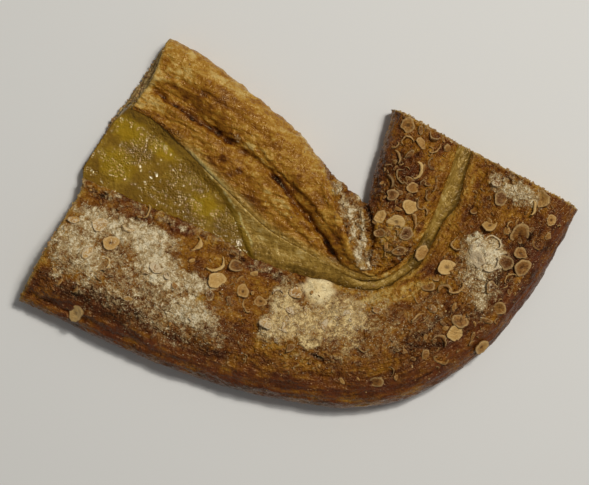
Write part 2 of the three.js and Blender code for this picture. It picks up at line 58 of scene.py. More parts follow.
POOL_FLOOR = 5.0
STRIP_RISE = dict(at_outer=2.5, at_inner=1.25, run=0.6)
WALL_WIDEST = 7.0
WALL_TUCK = 3.5
LIP_RADIUS = 2.1
LIP_OVERLAP = 1.0
OUTER_RIDGE = 0.44
INNER_FULL = 0.55
INNER_ROUND = 13.0
ROUNDNESS = 2.3
SWELLS = [(0.55, 11, 17, 0.6), (0.45, 7.5, -9, 2.1), (0.3, 4.6, 5.2, 4)]
LIP_SWELL = 0.4
CREASE_WIDTH = 0.085
FLAP_END_DROP = 6.5
FLAP_END_ROLL = dict(rise=1.6, before=0.25, width=0.3)
FLAP_END_RUN = 0.4
BOWL = dict(start=0.6, run=3.0)
FOLD_LINE = dict(off=5.8, width=1.6, depth=1.3, fade=(1.6, 1.4))
SUGAR_CRUST = dict(at=(4, -52), half=(26, 18), rise=1.3, edge=(0.8, 0.25))
CUSTARD_BASE = 4.6
CUSTARD_UNDER = 8.0
CUSTARD_EDGE = 1.1
CUSTARD_EDGE_LEVEL = 0.62
CUT_BULGE = dict(run=5.0, shares=(0.41, 0.5, 0.501, 0.93))
CUT_FOOT = dict(run=1.4, shares=(0.6, 0.68, 0.93, 1.0), height=5.0, fade=2.0)
CUT_LEAN = dict(run=3.4, shares=(0.66, 0.76, 0.84, 1.0), height=3.0, fade=9.0)
CUT_FADE = 1.1
# Rows, and width in mm, in which the strip runs smoothly up to just under the inner flap's edge.
FLAP_JOIN = dict(rows=(0.9, 1.6, 5.4, 6.6), width=9.0, under=0.2)


def ease(x):
    x = np.clip(x, 0, 1)
    return x * x * (3 - 2 * x)


def mix(a, b, share):
    return a + (b - a) * share


def fade_in(x, start, run):
    """0 up to start, 1 from start + run."""
    return ease((x - start) / run)


def fade_out(x, start, run):
    """1 up to start, 0 from start + run."""
    return 1 - fade_in(x, start, run)


def bell(off, width):
    """1 at 0, and 0.37 at a width from it."""
    return np.exp(-((off / width) ** 2))


def profile(*stops):
    """A smooth line through stops (place, value), level at each stop."""
    places = np.array([s[0] for s in stops], float)
    values = np.array([s[1] for s in stops], float)

    def at(x):
        x = np.clip(np.asarray(x, float), places[0], places[-1])
        i = np.clip(np.searchsorted(places, x, side="right") - 1, 0, len(places) - 2)
        share = (x - places[i]) / (places[i + 1] - places[i])
        return mix(values[i], values[i + 1], ease(share))

    return at


outer_height = profile((0, 21), (3, 24.5), (7, 26), (11, 25), (15, 22))
outer_lip_height = profile((0, 12.5), (3, 14), (7, 16), (15, 15.5))
inner_height = profile((0, 16.5), (3, 19), (6, 20.5), (9, 19.5), (12, 20.5), (15, 21))
inner_lip_height = profile((0, 13.5), (4, 15), (7, 16.5), (9, 15.5), (15, 15.5))
strip_height = profile((2, 11), (7, 12), (15, 13))
strip_bulge = profile((2.5, 0.3), (4, 1.6), (8, 1.4), (15, 2))
crease_across = profile((0, 0.33), (1.5, 0.42), (3, 0.5), (3.8, 0.42), (4.6, 0.3), (5.6, 0.08))
crease_depth = profile((0, 3.2), (1.2, 3.8), (2.4, 2.2), (3.2, 4.2), (4.8, 4), (5.8, 0))
flap_end = profile((0, 7.85), (0.13, 6.45), (0.34, 5.8), (0.59, 5.25), (0.8, 4.6), (1, 3.9))
custard_top = profile((0, 9.6), (2.4, 9.8), (3.2, 8.8), (15, 8.6))
# Row where the pale strip starts, at shares of the way from the outer lip to the inner lip.
strip_start = profile((0, 2.95), (0.37, 2.69), (0.76, 2.25), (0.92, 1.94), (0.98, 1.73), (1, 1.5))

# ---------------------------------------------------------------- resolution

ROW_STEPS = 352
LOOP_STEPS = dict(
    underside=10, wall=9, rise=48, fall=50, lip=10, floor=22, flap=62, shoulder=22, foot=6
)
CUT_LEVELS = 20

# ---------------------------------------------------------------- noise


def lattice(ix, iy, iz, seed):
    """A repeatable draw from 0 to 1 for each lattice point."""
    n = (
        ix.astype(np.int64) * 374761393
        + iy.astype(np.int64) * 668265263
        + iz.astype(np.int64) * 1274126177
        + seed * 971
    ) & 0xFFFFFFFF
    n = ((n ^ (n >> 13)) * 1103515245) & 0xFFFFFFFF
    n = ((n ^ (n >> 16)) * 668265263) & 0xFFFFFFFF
    return ((n ^ (n >> 15)) & 0xFFFFFF) / float(0xFFFFFF)


def noise(x, y, z=0.0, seed=0):
    """Smooth noise from 0 to 1 with a cell of 1."""
    x, y, z = np.broadcast_arrays(*(np.asarray(v, float) for v in (x, y, z)))
    ix, iy, iz = np.floor(x), np.floor(y), np.floor(z)
    fx, fy, fz = ease(x - ix), ease(y - iy), ease(z - iz)
    total = 0.0
    for dz in (0, 1):
        for dy in (0, 1):
            for dx in (0, 1):
                weight = (fx if dx else 1 - fx) * (fy if dy else 1 - fy) * (fz if dz else 1 - fz)
                total = total + weight * lattice(ix + dx, iy + dy, iz + dz, seed)
    return total


def fbm(x, y, z=0.0, seed=0, octaves=4):
    """Layered noise from 0 to 1, each layer twice as fine and half as strong."""
    total, weight, size = 0.0, 0.0, 1.0
    for octave in range(octaves):
        total = total + size * noise(x, y, z, seed + 17 * octave)
        weight += size
        size *= 0.5
        x, y, z = x * 2.03 + 11.3, y * 2.03 + 5.7, z * 2.03 + 3.1
    return total / weight


def lumpy(size, seed, octaves, x, y, z=0.0):
    """Layered noise on both sides of 0, with lumps of a size in mm."""
    return fbm(x / size, y / size, z / size, seed=seed, octaves=octaves) - 0.5


def ridged(x, y, z=0.0, seed=0, octaves=3):
    """Layered noise with sharp crests at 1."""
    total, weight, size = 0.0, 0.0, 1.0
    for octave in range(octaves):
        total = total + size * (1 - np.abs(2 * noise(x, y, z, seed + 29 * octave) - 1))
        weight += size
        size *= 0.55
        x, y, z = x * 1.97 + 7.9, y * 1.97 + 2.3, z * 1.97 + 4.4
    return total / weight


# ---------------------------------------------------------------- the bar's plan


def spline(points, row):
    """The solids' smooth line through points, at a row."""
    points = np.array(points, float)
    row = np.clip(np.asarray(row, float), 0, len(points) - 1)
    i = np.minimum(np.floor(row).astype(int), len(points) - 2)
    t = (row - i)[..., None]
    last = len(points) - 1
    p0, p1 = points[np.maximum(i - 1, 0)], points[i]
    p2, p3 = points[np.minimum(i + 1, last)], points[np.minimum(i + 2, last)]
    v0, v1 = (p2 - p0) / 2, (p3 - p1) / 2
    return (
        (2 * p1 - 2 * p2 + v0 + v1) * t**3 + (-3 * p1 + 3 * p2 - 2 * v0 - v1) * t**2 + v0 * t + p1
    )


class Lines:
    """The lines across the bar at rows: start, direction, width and lips."""

    def __init__(self, rows):
        self.rows = np.asarray(rows, float)
        self.outer = spline(OUTER_EDGE, self.rows)
        across = spline(INNER_EDGE, self.rows) - self.outer
        lips = spline(LIP_SHARES, self.rows)
        self.width = np.linalg.norm(across, axis=-1)
        self.across = across / self.width[..., None]
        self.outer_lip = lips[..., 0] * self.width
        self.inner_lip = lips[..., 1] * self.width

    def along(self):
        """Length along the middle of the bar at each row."""
        middle = self.outer + self.across * (self.width / 2)[:, None]
        steps = np.linalg.norm(np.diff(middle, axis=0), axis=1)
        return np.concatenate([[0], np.cumsum(steps)])


def out_of_cut(row, way):
    across = Lines(np.array([row])).across[0]
    return np.array([-across[1], across[0]]) * way


OUT_LEFT = out_of_cut(0.0, 1)
OUT_RIGHT = out_of_cut(float(LAST_ROW), -1)


def even_rows(count):
    """Rows evenly spaced along the middle of the bar."""
    fine = np.linspace(0, LAST_ROW, 3001)
    length = Lines(fine).along()
    return np.interp(np.linspace(0, length[-1], count), length, fine)


def spot(row, share):
    """The place in plan at a row and a share of the way across."""
    line = Lines(np.array([row]))
    return line.outer[0] + line.across[0] * (share * line.width[0])


def window(x, shares):
    rise = ease((x - shares[0]) / (shares[1] - shares[0]))
    fall = ease((x - shares[2]) / (shares[3] - shares[2]))
    return rise * (1 - fall)


def cut_run(rows, share, z):
    """How far the bar's left end stands out past the straight cut."""
    low = fade_out(z, CUT_FOOT["height"], CUT_FOOT["fade"])
    high = fade_in(z, CUT_LEAN["height"], CUT_LEAN["fade"])
    return (1 - ease(rows / CUT_FADE)) * (
        CUT_BULGE["run"] * window(share, CUT_BULGE["shares"])
        + CUT_FOOT["run"] * window(share, CUT_FOOT["shares"]) * low
        - CUT_LEAN["run"] * window(share, CUT_LEAN["shares"]) * high
    )


def place(lines, rows, w, z):
    """Points at distances w across the rows and heights z."""
    out = cut_run(rows[:, None], w / lines.width[:, None], z)
    x = lines.outer[:, 0:1] + lines.across[:, 0:1] * w + OUT_LEFT[0] * out
    y = lines.outer[:, 1:2] + lines.across[:, 1:2] * w + OUT_LEFT[1] * out
    return np.stack([x, y, np.broadcast_to(z, x.shape)], -1)


# ---------------------------------------------------------------- the dough's section

# Parts of the section loop, in order.
UNDERSIDE, OUTER_WALL, OUTER_FLAP, OUTER_LIP, FLOOR, INNER_LIP, INNER_FLAP, INNER_WALL = range(8)


def swell(x, y):
    return sum(height * np.sin(x / lx + y / ly + start) for height, lx, ly, start in SWELLS)


def sugar_crust_rise(x, y):
    u = (x - SUGAR_CRUST["at"][0]) / SUGAR_CRUST["half"][0]
    v = (y - SUGAR_CRUST["at"][1]) / SUGAR_CRUST["half"][1]
    return SUGAR_CRUST["rise"] * fade_out(np.hypot(u, v), *SUGAR_CRUST["edge"])


def shoulder(share):
    inner = 1 - np.power(1 - np.clip(share, 0, 1), ROUNDNESS)
    return np.power(np.maximum(0, inner), 1 / ROUNDNESS)


def outer_top(rows, lines, w):
    ridge = OUTER_RIDGE * lines.outer_lip[:, None]
    height = outer_height(rows)
    fold = fade_out(rows, *FOLD_LINE["fade"]) * FOLD_LINE["depth"]
    fold = fold * bell(w - FOLD_LINE["off"], FOLD_LINE["width"])
    rise = WALL_WIDEST + (height - WALL_WIDEST) * shoulder(w / ridge) - fold
    fall = (w - ridge) / (lines.outer_lip[:, None] - LIP_RADIUS - ridge)
    return np.where(w <= ridge, rise, mix(height, outer_lip_height(rows), ease(fall)))


def inner_top(rows, lines, w):
    lip = lines.inner_lip[:, None]
    width = lines.width[:, None]
    across = (w - lip) / (width - lip)
    height = mix(inner_lip_height(rows), inner_height(rows), ease(across / INNER_FULL))
    height = height - crease_depth(rows) * bell(across - crease_across(rows), CREASE_WIDTH)
    past = rows - flap_end(across)
    roll = bell(past + FLAP_END_ROLL["before"], FLAP_END_ROLL["width"])
    height = height + FLAP_END_ROLL["rise"] * roll
    drop = ease(past / FLAP_END_RUN) * fade_out(past, BOWL["start"], BOWL["run"])
    height = height - FLAP_END_DROP * drop
    return WALL_WIDEST + (height - WALL_WIDEST) * shoulder((width - w) / INNER_ROUND)


def dough_sections(rows):
    """W and Z of every loop point of every row, with the part of the loop that each is in."""
    lines = Lines(rows)
    count = len(rows)
    r = rows[:, None]
    width = lines.width[:, None]
    lip_out = lines.outer_lip[:, None]
    lip_in = lines.inner_lip[:, None]
    ws, zs, parts = [], [], []

    def add(w, z, part):
        w = np.broadcast_to(w, (count, w.shape[-1]))
        ws.append(w)
        zs.append(np.broadcast_to(z, w.shape))
        parts.append(np.full(w.shape[-1], part))

    def top(w, z, share):
        x = lines.outer[:, 0:1] + lines.across[:, 0:1] * w
        y = lines.outer[:, 1:2] + lines.across[:, 1:2] * w
        return z + share * (swell(x, y) + sugar_crust_rise(x, y))

    def steps(name, first=0, last=0):
        """Shares of the way along a part, from step first to last past the full count."""
        count = LOOP_STEPS[name]
        return np.arange(first, count + last)[None] / count

    quarter = math.pi / 2
    t = steps("underside")
    add(mix(width - WALL_TUCK, WALL_TUCK, t), 0 * t, UNDERSIDE)
    turn = steps("wall") * quarter
    add(WALL_TUCK * (1 - np.sin(turn)), WALL_WIDEST * (1 - np.cos(turn)), OUTER_WALL)
    turn = steps("rise") * quarter
    w = OUTER_RIDGE * lip_out * (1 - np.power(np.cos(turn), 2 / ROUNDNESS))
    add(w, top(w, outer_top(r, lines, w), np.sin(turn)), OUTER_FLAP)
    t = steps("fall")
    w = mix(OUTER_RIDGE * lip_out, lip_out - LIP_RADIUS, t)
    add(w, top(w, outer_top(r, lines, w), mix(1, LIP_SWELL, t)), OUTER_FLAP)
    turn = quarter - steps("lip", last=1) * math.pi
    w = lip_out - LIP_RADIUS + LIP_RADIUS * np.cos(turn)
    add(w, outer_lip_height(r) - LIP_RADIUS + LIP_RADIUS * np.sin(turn), OUTER_LIP)
    t = steps("floor", first=1)
    start = mix(STRIP_RISE["at_outer"], STRIP_RISE["at_inner"], t)
    strip = strip_height(r) + strip_bulge(r) * np.sin(t * math.pi)
    z = mix(POOL_FLOOR, strip, ease((r - start) / STRIP_RISE["run"]))
    w = mix(lip_out - LIP_OVERLAP, lip_in + LIP_OVERLAP, t)
    joined = window(r, FLAP_JOIN["rows"]) * fade_out(lip_in + LIP_RADIUS - w, 0, FLAP_JOIN["width"])
    add(w, mix(z, np.maximum(z, inner_lip_height(r) - FLAP_JOIN["under"]), joined), FLOOR)
    turn = -quarter - steps("lip", last=1) * math.pi
    w = lip_in + LIP_RADIUS + LIP_RADIUS * np.cos(turn)
    add(w, inner_lip_height(r) - LIP_RADIUS + LIP_RADIUS * np.sin(turn), INNER_LIP)
    t = steps("flap", first=1, last=1)
    w = mix(lip_in + LIP_RADIUS, width - INNER_ROUND, t)
    add(w, top(w, inner_top(r, lines, w), mix(LIP_SWELL, 1, t)), INNER_FLAP)
    turn = (1 - steps("shoulder", first=1, last=1)) * quarter
    w = width - INNER_ROUND * (1 - np.power(np.cos(turn), 2 / ROUNDNESS))
    add(w, top(w, inner_top(r, lines, w), np.sin(turn)), INNER_FLAP)
    turn = (1 - steps("foot", first=1)) * quarter
    w = width - WALL_TUCK * (1 - np.sin(turn))
    add(w, WALL_WIDEST * (1 - np.cos(turn)), INNER_WALL)
    return lines, np.concatenate(ws, 1), np.concatenate(zs, 1), np.concatenate(parts)


# ---------------------------------------------------------------- marks on the crust, in plan

# Sugar, as [x, y, half length, half width, turn in degrees, amount].
SUGAR_PATCHES = [
    (-80, -7, 17, 8, -22, 0.84), (-72, -20, 12, 8, -35, 0.66), (-73, -25, 6, 5, 0, 0.6),
    (-52, -31, 8, 5, -20, 0.72), (-54, -45, 8, 7, -35, 0.64), (-103, 2, 14, 7, -20, 0.68),
    (-86, -30, 34, 18, -24, 0.5), (-62, -52, 28, 12, -22, 0.32), (-48, -42, 24, 18, -30, 0.25),
    (-119, -14, 13, 17, 30, 0.55), (-104, -12, 16, 9, -24, 0.35),
    (-8, -38, 9, 8, 20, 0.72), (0, -46, 16, 12, 10, 0.52), (24, -48, 13, 9, 10, 0.5),
    (-13, -54, 9, 7, 0, 0.72), (14, -56, 24, 12, 0, 0.42), (48, -52, 24, 14, 20, 0.32),
    (15, -70, 30, 6, 4, 0.25), (30, -38, 16, 8, 0, 0.45),
    (95, -14, 8, 11, 60, 0.88), (97, -17, 8, 7, 0, 0.75), (92, -30, 9, 16, 10, 0.6),
    (76, -50, 22, 16, 40, 0.15), (112, 17, 13, 6, -28, 0.74), (126, 10, 14, 9, -28, 0.12),
    (24, 8, 5, 9, 28, 0.4), (31, -6, 5, 10, 15, 0.42), (36, -18, 5, 6, 15, 0.4),
    (52, -12, 12, 10, 10, 0.3), (20, 20, 4, 3, 0, 0.6), (-31, 44, 2.2, 1.6, -40, 0.6),
    (-31, 32, 1.6, 1.2, -40, 0.4),
]

# Lumps of melted sugar that stand up, as [x, y, half length, half width, turn, height].
SUGAR_LUMPS = [
    (-75, -11, 8, 5, -20, 1.2), (-72, -25, 5, 4, 0, 1.0), (-52, -31, 6, 4, -10, 1.2),
    (-54, -45, 5, 5, 0, 1.2), (-8, -38, 6, 6, 0, 1.5), (-13, -54, 7, 5, 0, 1.4),
    (24, -48, 6, 4, 0, 1.4), (12, -34, 6.5, 6, -15, 2.2), (97, -17, 5, 4, 20, 1.3),
    (92, -10, 5, 6, 0, 1.0), (6, -60, 7, 4, 0, 1.0),
]
CREAM_LUMP = (10.4, -33.6, 7.6, 7.2, -15)  # smooth and creamy, in the same form without the height
WARM_SUGAR = (14, -50, 36, 22)  # where the sugar is yellower, as [x, y, half length, half width]
# Rows where painted shade darkens the strip.
STRIP_SHADE = ((3.9, 4.6, 5.6, 6.4), (8.8, 9.6, 10.8, 11.6))

# The folds of the crust, as [points, width, depth, groove shade: painted shade in the groove
# together with its darker glaze].
FOLDS = [
    ([(-75, 70), (-65, 62), (-54, 55), (-44, 49), (-36, 43), (-31, 40)], 1.4, 1.8, 0.52),
    ([(-31, 40), (-24, 35), (-17, 29), (-12, 24)], 1.6, 0.9, 0.22),
    ([(-17, 31), (-13, 25), (-7, 19), (-3, 13), (3, 6), (8, -1), (12, -6), (18, -15), (24, -23)],
     1.3, 1.8, 0.34),
    ([(-24, 44), (-18, 35), (-10, 26), (0, 17), (8, 8), (14, 0), (20, -8), (25, -16)],
     1.0, 0.9, 0.12),
    ([(-6, 15), (1, 4), (7, -5), (13, -13), (20, -20), (28, -25)], 1.2, 0.9, 0.14),
    ([(-17, 12), (-8, 3), (2, -7), (11, -15), (22, -22), (32, -27)], 1.1, 0.8, 0.12),
    ([(35, 10), (37, 5), (38.3, -2), (38.6, -11), (36.4, -20), (37, -24)], 1.0, 1.8, 0.42),
    ([(13, 20), (19, 10), (24, 1), (27, -10), (32, -20)], 0.9, 1.2, 0.3),
    ([(-58, 72), (-46, 66), (-32, 57), (-18, 46), (-8, 36)], 1.4, 0.7, 0.12),
    ([(-142, -38), (-120, -41), (-108, -43), (-98, -48), (-86, -56), (-76, -63)], 2.2, 1.0, 0.3),
    ([(-130, -33), (-104, -40), (-84, -50), (-62, -60), (-40, -68), (-20, -72)], 2.6, 0.7, 0.2),
    ([(2, -65), (8, -67), (14, -70)], 0.8, 1.6, 0.5),
    ([(44, -66), (56, -62), (66, -55), (74, -46)], 1.6, 0.8, 0.2),
    ([(-8, -74), (12, -78), (34, -79), (54, -75)], 1.8, 0.8, 0.15),
    ([(-30, -78), (0, -84), (30, -87), (56, -83), (80, -70)], 1.4, 0.7, 0.15),
    ([(45, -32), (60, -29), (74, -24)], 1.2, 0.9, 0.2),
    ([(84, -2), (88, 8), (92, 18), (95, 28)], 1.3, 0.9, 0.22),
]

# Stretches that are baked lighter or darker, as [x, y, half length, half width, turn, level,
# share], on the inner flap, on the flap below its end, and on the outer flap.
FLAP_TONES = [
    (-57, 80, 12, 7, -30, 0.26, 0.7), (-50, 63, 16, 5, -36, 0.6, 0.75),
    (-70, 68, 5, 4, -36, 0.62, 0.7), (-55, 47, 24, 5, -38, 0.38, 0.6),
    (-74, 62, 7, 4, -38, 0.25, 0.7), (-33, 30, 12, 7, -45, 0.5, 0.6),
    (-24, 14, 5, 3.5, -50, 0.72, 0.8), (-12, 10, 11, 5.5, -52, 0.28, 0.85),
    (-38, 34, 2.4, 2, 0, 0.85, 0.8), (-31, 27, 2.2, 1.8, 0, 0.85, 0.8),
    (2, 30, 14, 7, -48, 0.36, 0.7), (-22, 46, 14, 6, -42, 0.46, 0.6),
    (12, -4, 14, 7, -50, 0.56, 0.7), (-37, 65, 16, 5, -38, 0.6, 0.8),
    (10, -19, 12, 3.5, -45, 0.3, 0.6), (27, -27, 10, 2.5, -22, 0.2, 0.8),
    (-9.5, 22, 5, 2, -45, 0.86, 0.7), (-24, 40, 3, 1.4, -50, 0.1, 0.6),
    (-77, 73, 11, 3, 60, 0.06, 0.95), (-82, 61, 4, 3, 20, 0.1, 0.8),
]
ARM_TONES = [
    (60, 42, 13, 10, 0, 0.5, 0.8), (52, 24, 16, 12, 80, 0.92, 0.85),
    (73, 22, 4, 22, -20, 0.42, 0.75), (46, -5, 10, 12, 0, 0.28, 0.9),
    (66, 5, 5, 10, -30, 0.5, 0.6), (44, 10, 4, 12, 10, 0.85, 0.6),
]
OUTER_TONES = [
    (-118, 10, 9, 8, 30, 0.45, 0.8), (-128, -12, 8, 18, -28, 0.5, 0.6),
    (54, -35, 28, 4.5, 17, 0.24, 0.95), (-30, -26, 26, 10, -26, 0.55, 0.7),
    (122, -18, 15, 27, -28, 1.12, 0.95), (88, 18, 5, 18, -22, 0.46, 0.8),
    (104, 12, 9, 7, -28, 0.86, 0.7), (75, -10, 6, 16, -30, 0.6, 0.8),
    (0, -82, 60, 8, -4, 0.7, 0.7), (-100, -42, 40, 6, -25, 0.95, 0.9),
    (76, -60, 34, 12, 38, 0.95, 0.85), (-18, -60, 20, 8, 0, 0.6, 0.5),
    (133, 8, 9, 9, -28, 0.74, 0.8),
]

# How strongly each part is wrinkled, in mm: lumps, blisters, wrinkles and lengthwise pulls.
RELIEF = dict(
    outer=(2.8, 0.7, 1.9, 0.5), flap=(1.8, 0.4, 0.6, 2.0), arm=(2.4, 1.0, 2.3, 0.4),
    lip=(0.8, 0.25, 0.5, 0.1), floor=(0.7, 0.15, 0.15, 0.35),
)

# Noises of the crust, as (size in mm, seed, layers).
WARP, LUMPS, MOTTLE, PATCHES = (6, 21, 2), (9, 3, 3), (5, 71, 4), (14, 73, 2)
CLUMP_SIZE = 2.4

# Where stretches fade, as (start, run): across in mm from their edge, or along in rows.
RED_BAND = dict(across=(4.5, 3), rows=(3.8, 0.9))
SMOOTH_EDGE = dict(across=(9, 10), rows=(0.5, 0.8))
FLAP_RIM = dict(across=(4, 5), to_row=4.2)
PALE_LIP = dict(across=(1.5, 4.5), rows=((1.0, 0.6), (6.6, 0.8)))
CREST_ON_LIP = ((1.25, 0.2), (1.7, 0.3))
FLAP_LIP_TO = 7.6
ARM_RED_FROM = 8.5
OPEN_STRIP_FROM = 7
SHADED_LIP_FROM = 6

# The rolled, sugared end of the inner flap, as [x, y, half width] along its middle.
FLAP_ROLL = [
    (20.5, 17, 3.4), (26.5, 9.9, 5.8), (30.2, 0.5, 6.0), (30.9, -10.9, 5.0), (34.3, -21.3, 3.4),
]


def off_line(x, y, points):
    """Distance from a line through points, with the share of the way along it."""
    best = np.full(x.shape, 1e9)
    along = np.zeros(x.shape)
    points = np.array(points, float)
    for i in range(len(points) - 1):
        a, d = points[i], points[i + 1] - points[i]
        t = np.clip(((x - a[0]) * d[0] + (y - a[1]) * d[1]) / (d @ d), 0, 1)
        gap = np.hypot(x - a[0] - t * d[0], y - a[1] - t * d[1])
        nearer = gap < best
        best = np.where(nearer, gap, best)
        along = np.where(nearer, (i + t) / (len(points) - 1), along)
    return best, along


def patch(x, y, at, half, turn, soft, wobble, seed):
    """1 inside an ellipse with an uneven edge, 0 outside."""
    c, s = math.cos(math.radians(turn)), math.sin(math.radians(turn))
    u = ((x - at[0]) * c + (y - at[1]) * s) / half[0]
    v = (-(x - at[0]) * s + (y - at[1]) * c) / half[1]
    uneven = lumpy(max(1.5, min(half) / 2), seed, 3, x, y) * 2 * wobble
    return 1 - ease((np.hypot(u, v) + uneven - 1 + soft) / (2 * soft))


def sugar_cover(x, y):
    """How much sugar lies at a place, from 0 to 1."""
    bare = np.ones(x.shape)
    for i, (px, py, length, width, turn, amount) in enumerate(SUGAR_PATCHES):
        bare = bare * (
            1 - amount * patch(x, y, (px, py), (length, width), turn, 0.55, 0.55, 40 + i)
        )
    return 1 - bare


def sugar_clumps(x, y):
    return fbm(x / CLUMP_SIZE, y / CLUMP_SIZE, seed=52, octaves=3)


def tone(level, x, y, tones, seed):
    """Level of baking after the lighter and darker stretches."""
    for i, (px, py, length, width, turn, wanted, share) in enumerate(tones):
        reach = patch(x, y, (px, py), (length, width), turn, 0.5, 0.4, seed + i)
        level = mix(level, wanted, share * reach)
    return level


# ---------------------------------------------------------------- meshes


def link_object(name, data):
    thing = bpy.data.objects.new(name, data)
    bpy.context.scene.collection.objects.link(thing)
    return thing


def make_object(name, points, faces, material, marks=None, smooth=True):
    """An object of points in mm, with a value at each point for every mark."""
    mesh = bpy.data.meshes.new(name)
    mesh.from_pydata((np.asarray(points) * MM).tolist(), [], faces)
    mesh.validate()
    for mark, values in (marks or {}).items():
        layer = mesh.attributes.new(mark, "FLOAT", "POINT")
        layer.data.foreach_set("value", np.asarray(values, np.float32))
    mesh.polygons.foreach_set("use_smooth", [smooth] * len(mesh.polygons))
    mesh.materials.append(material)
    mesh.update()
    return link_object(name, mesh)


def loop_normals(points):
    """Unit normals of rows of closed loops, facing out."""
    along = np.gradient(points, axis=0)
    around = np.roll(points, -1, axis=1) - np.roll(points, 1, axis=1)
    normal = np.cross(along, around)
    return normal / np.maximum(np.linalg.norm(normal, axis=-1, keepdims=True), 1e-9)


def tube_faces(index):
    """Quads between the closed loops of a grid of point numbers."""
    a, b = index[:-1], np.roll(index, -1, axis=1)[:-1]
    c, d = np.roll(index, -1, axis=1)[1:], index[1:]
    return np.stack([b, a, d, c], -1).reshape(-1, 4).tolist()


class Crust:
    """What is known of each point of the dough: its place, its part and the noises there."""

    def __init__(self, points, rows, lines, w, part):
        self.x, self.y, self.z = points[..., 0], points[..., 1], points[..., 2]
        self.w, shape = w, self.x.shape
        self.r = np.broadcast_to(rows[:, None], shape)
        self.s = np.broadcast_to(lines.along()[:, None], shape)
        self.width = lines.width[:, None]
        self.lip_out, self.lip_in = lines.outer_lip[:, None], lines.inner_lip[:, None]
        across = (w - self.lip_in) / (self.width - self.lip_in)
        self.past_end = self.r - flap_end(np.clip(across, 0, 1))
        self.find_parts(np.broadcast_to(part[None], shape))
        self.make_noises()

    def find_parts(self, part):
        self.outer = (part == OUTER_FLAP) | (part == OUTER_WALL)
        self.inner = (part == INNER_FLAP) | (part == INNER_WALL)
        self.lip = (part == OUTER_LIP) | (part == INNER_LIP)
        self.floor = part == FLOOR
        self.under = part == UNDERSIDE
        self.flap = self.inner & (self.past_end < 0)
        self.arm = self.inner & (self.past_end >= 0)
        self.flap_lip = (part == INNER_LIP) & (self.r < FLAP_LIP_TO)
        self.outer_lip = part == OUTER_LIP
        self.outer_and_lip = self.outer | self.outer_lip

    def make_noises(self):
        """Broad lumps, blisters, skin wrinkles, long pulls of the sheet, fine skin and mottling."""
        at, s, w = (self.x, self.y, self.z), self.s, self.w
        x, y, z = at
        warp = 1.6 * lumpy(*WARP, *at)
        self.lumps = lumpy(*LUMPS, *at)
        blisters = fbm(x / 4 + warp, y / 4, z / 4, seed=15, octaves=2)
        self.blisters = 1 - np.abs(2 * blisters - 1) - 0.7
        self.wrinkles = ridged(x / 2.9 + warp, y / 2.9 - warp, z / 2.9, seed=8, octaves=3) - 0.6
        pulls = ridged(s / 11 + 0.5 * warp, w / 2.0 + 0.8 * warp, z / 8, seed=12, octaves=3)
        self.pulls = pulls - 0.6
        self.fine = ridged(x / 1.5, y / 1.5 + warp, z / 1.5, seed=31, octaves=2) - 0.6
        self.clumps = sugar_clumps(x, y)
        self.mottle, self.patches = lumpy(*MOTTLE, *at), lumpy(*PATCHES, *at)
        self.streak = fbm(s / 9, (w + 2 * warp) / 1.5, seed=75, octaves=3) - 0.5


def sugar_on(c):
    sugar = sugar_cover(c.x, c.y)
    sugar = np.where(c.floor | c.under, 0, sugar)
    sugar = np.where(c.lip & (c.r < 5), sugar * 0.25, sugar)
    return np.where(c.flap & (c.past_end < -1.4) & (c.x > -25), sugar * 0.1, sugar)


def skin_relief(c, sugar):
    relief = np.zeros(c.x.shape)
    for where, strengths in zip((c.outer, c.flap, c.arm, c.lip, c.floor), RELIEF.values()):
        lump, blister, wrinkle, pull = strengths
        height = lump * c.lumps + blister * c.blisters + wrinkle * c.wrinkles + pull * c.pulls
        relief = np.where(where, height, relief)
    relief = np.where(c.under, 0, relief + np.where(c.flap | c.floor, 0.2, 0.45) * c.fine)
    return relief * (1 - 0.4 * sugar) + sugar * (2.2 * (c.clumps - 0.42) + 0.2)


def add_folds(c, relief):
    """The relief with the folds in it, and how dark their grooves are: painted shade, together with
    the darker glaze that lies in them.
    """
    top = np.where(c.floor | c.under, 0, 1)
    dark = np.zeros(c.x.shape)
    for i, (line, wide, depth, groove_shade) in enumerate(FOLDS):
        gap, share = off_line(c.x, c.y, line)
        gap = gap + lumpy(3, 60 + i, 3, c.x, c.y) * 2.2
        ends = ease(share / 0.12) * fade_out(share, 0.85, 0.15) * top
        groove = bell(gap, wide) * ends
        bank = bell(np.abs(gap) - 2.0 * wide, wide) * ends
        relief = relief - depth * groove + 0.3 * depth * bank
        # Painted shade darkens each groove, and its raised banks are painted a little lighter.
        dark = np.maximum(dark, groove_shade * groove) - 0.05 * bank
    return relief, dark


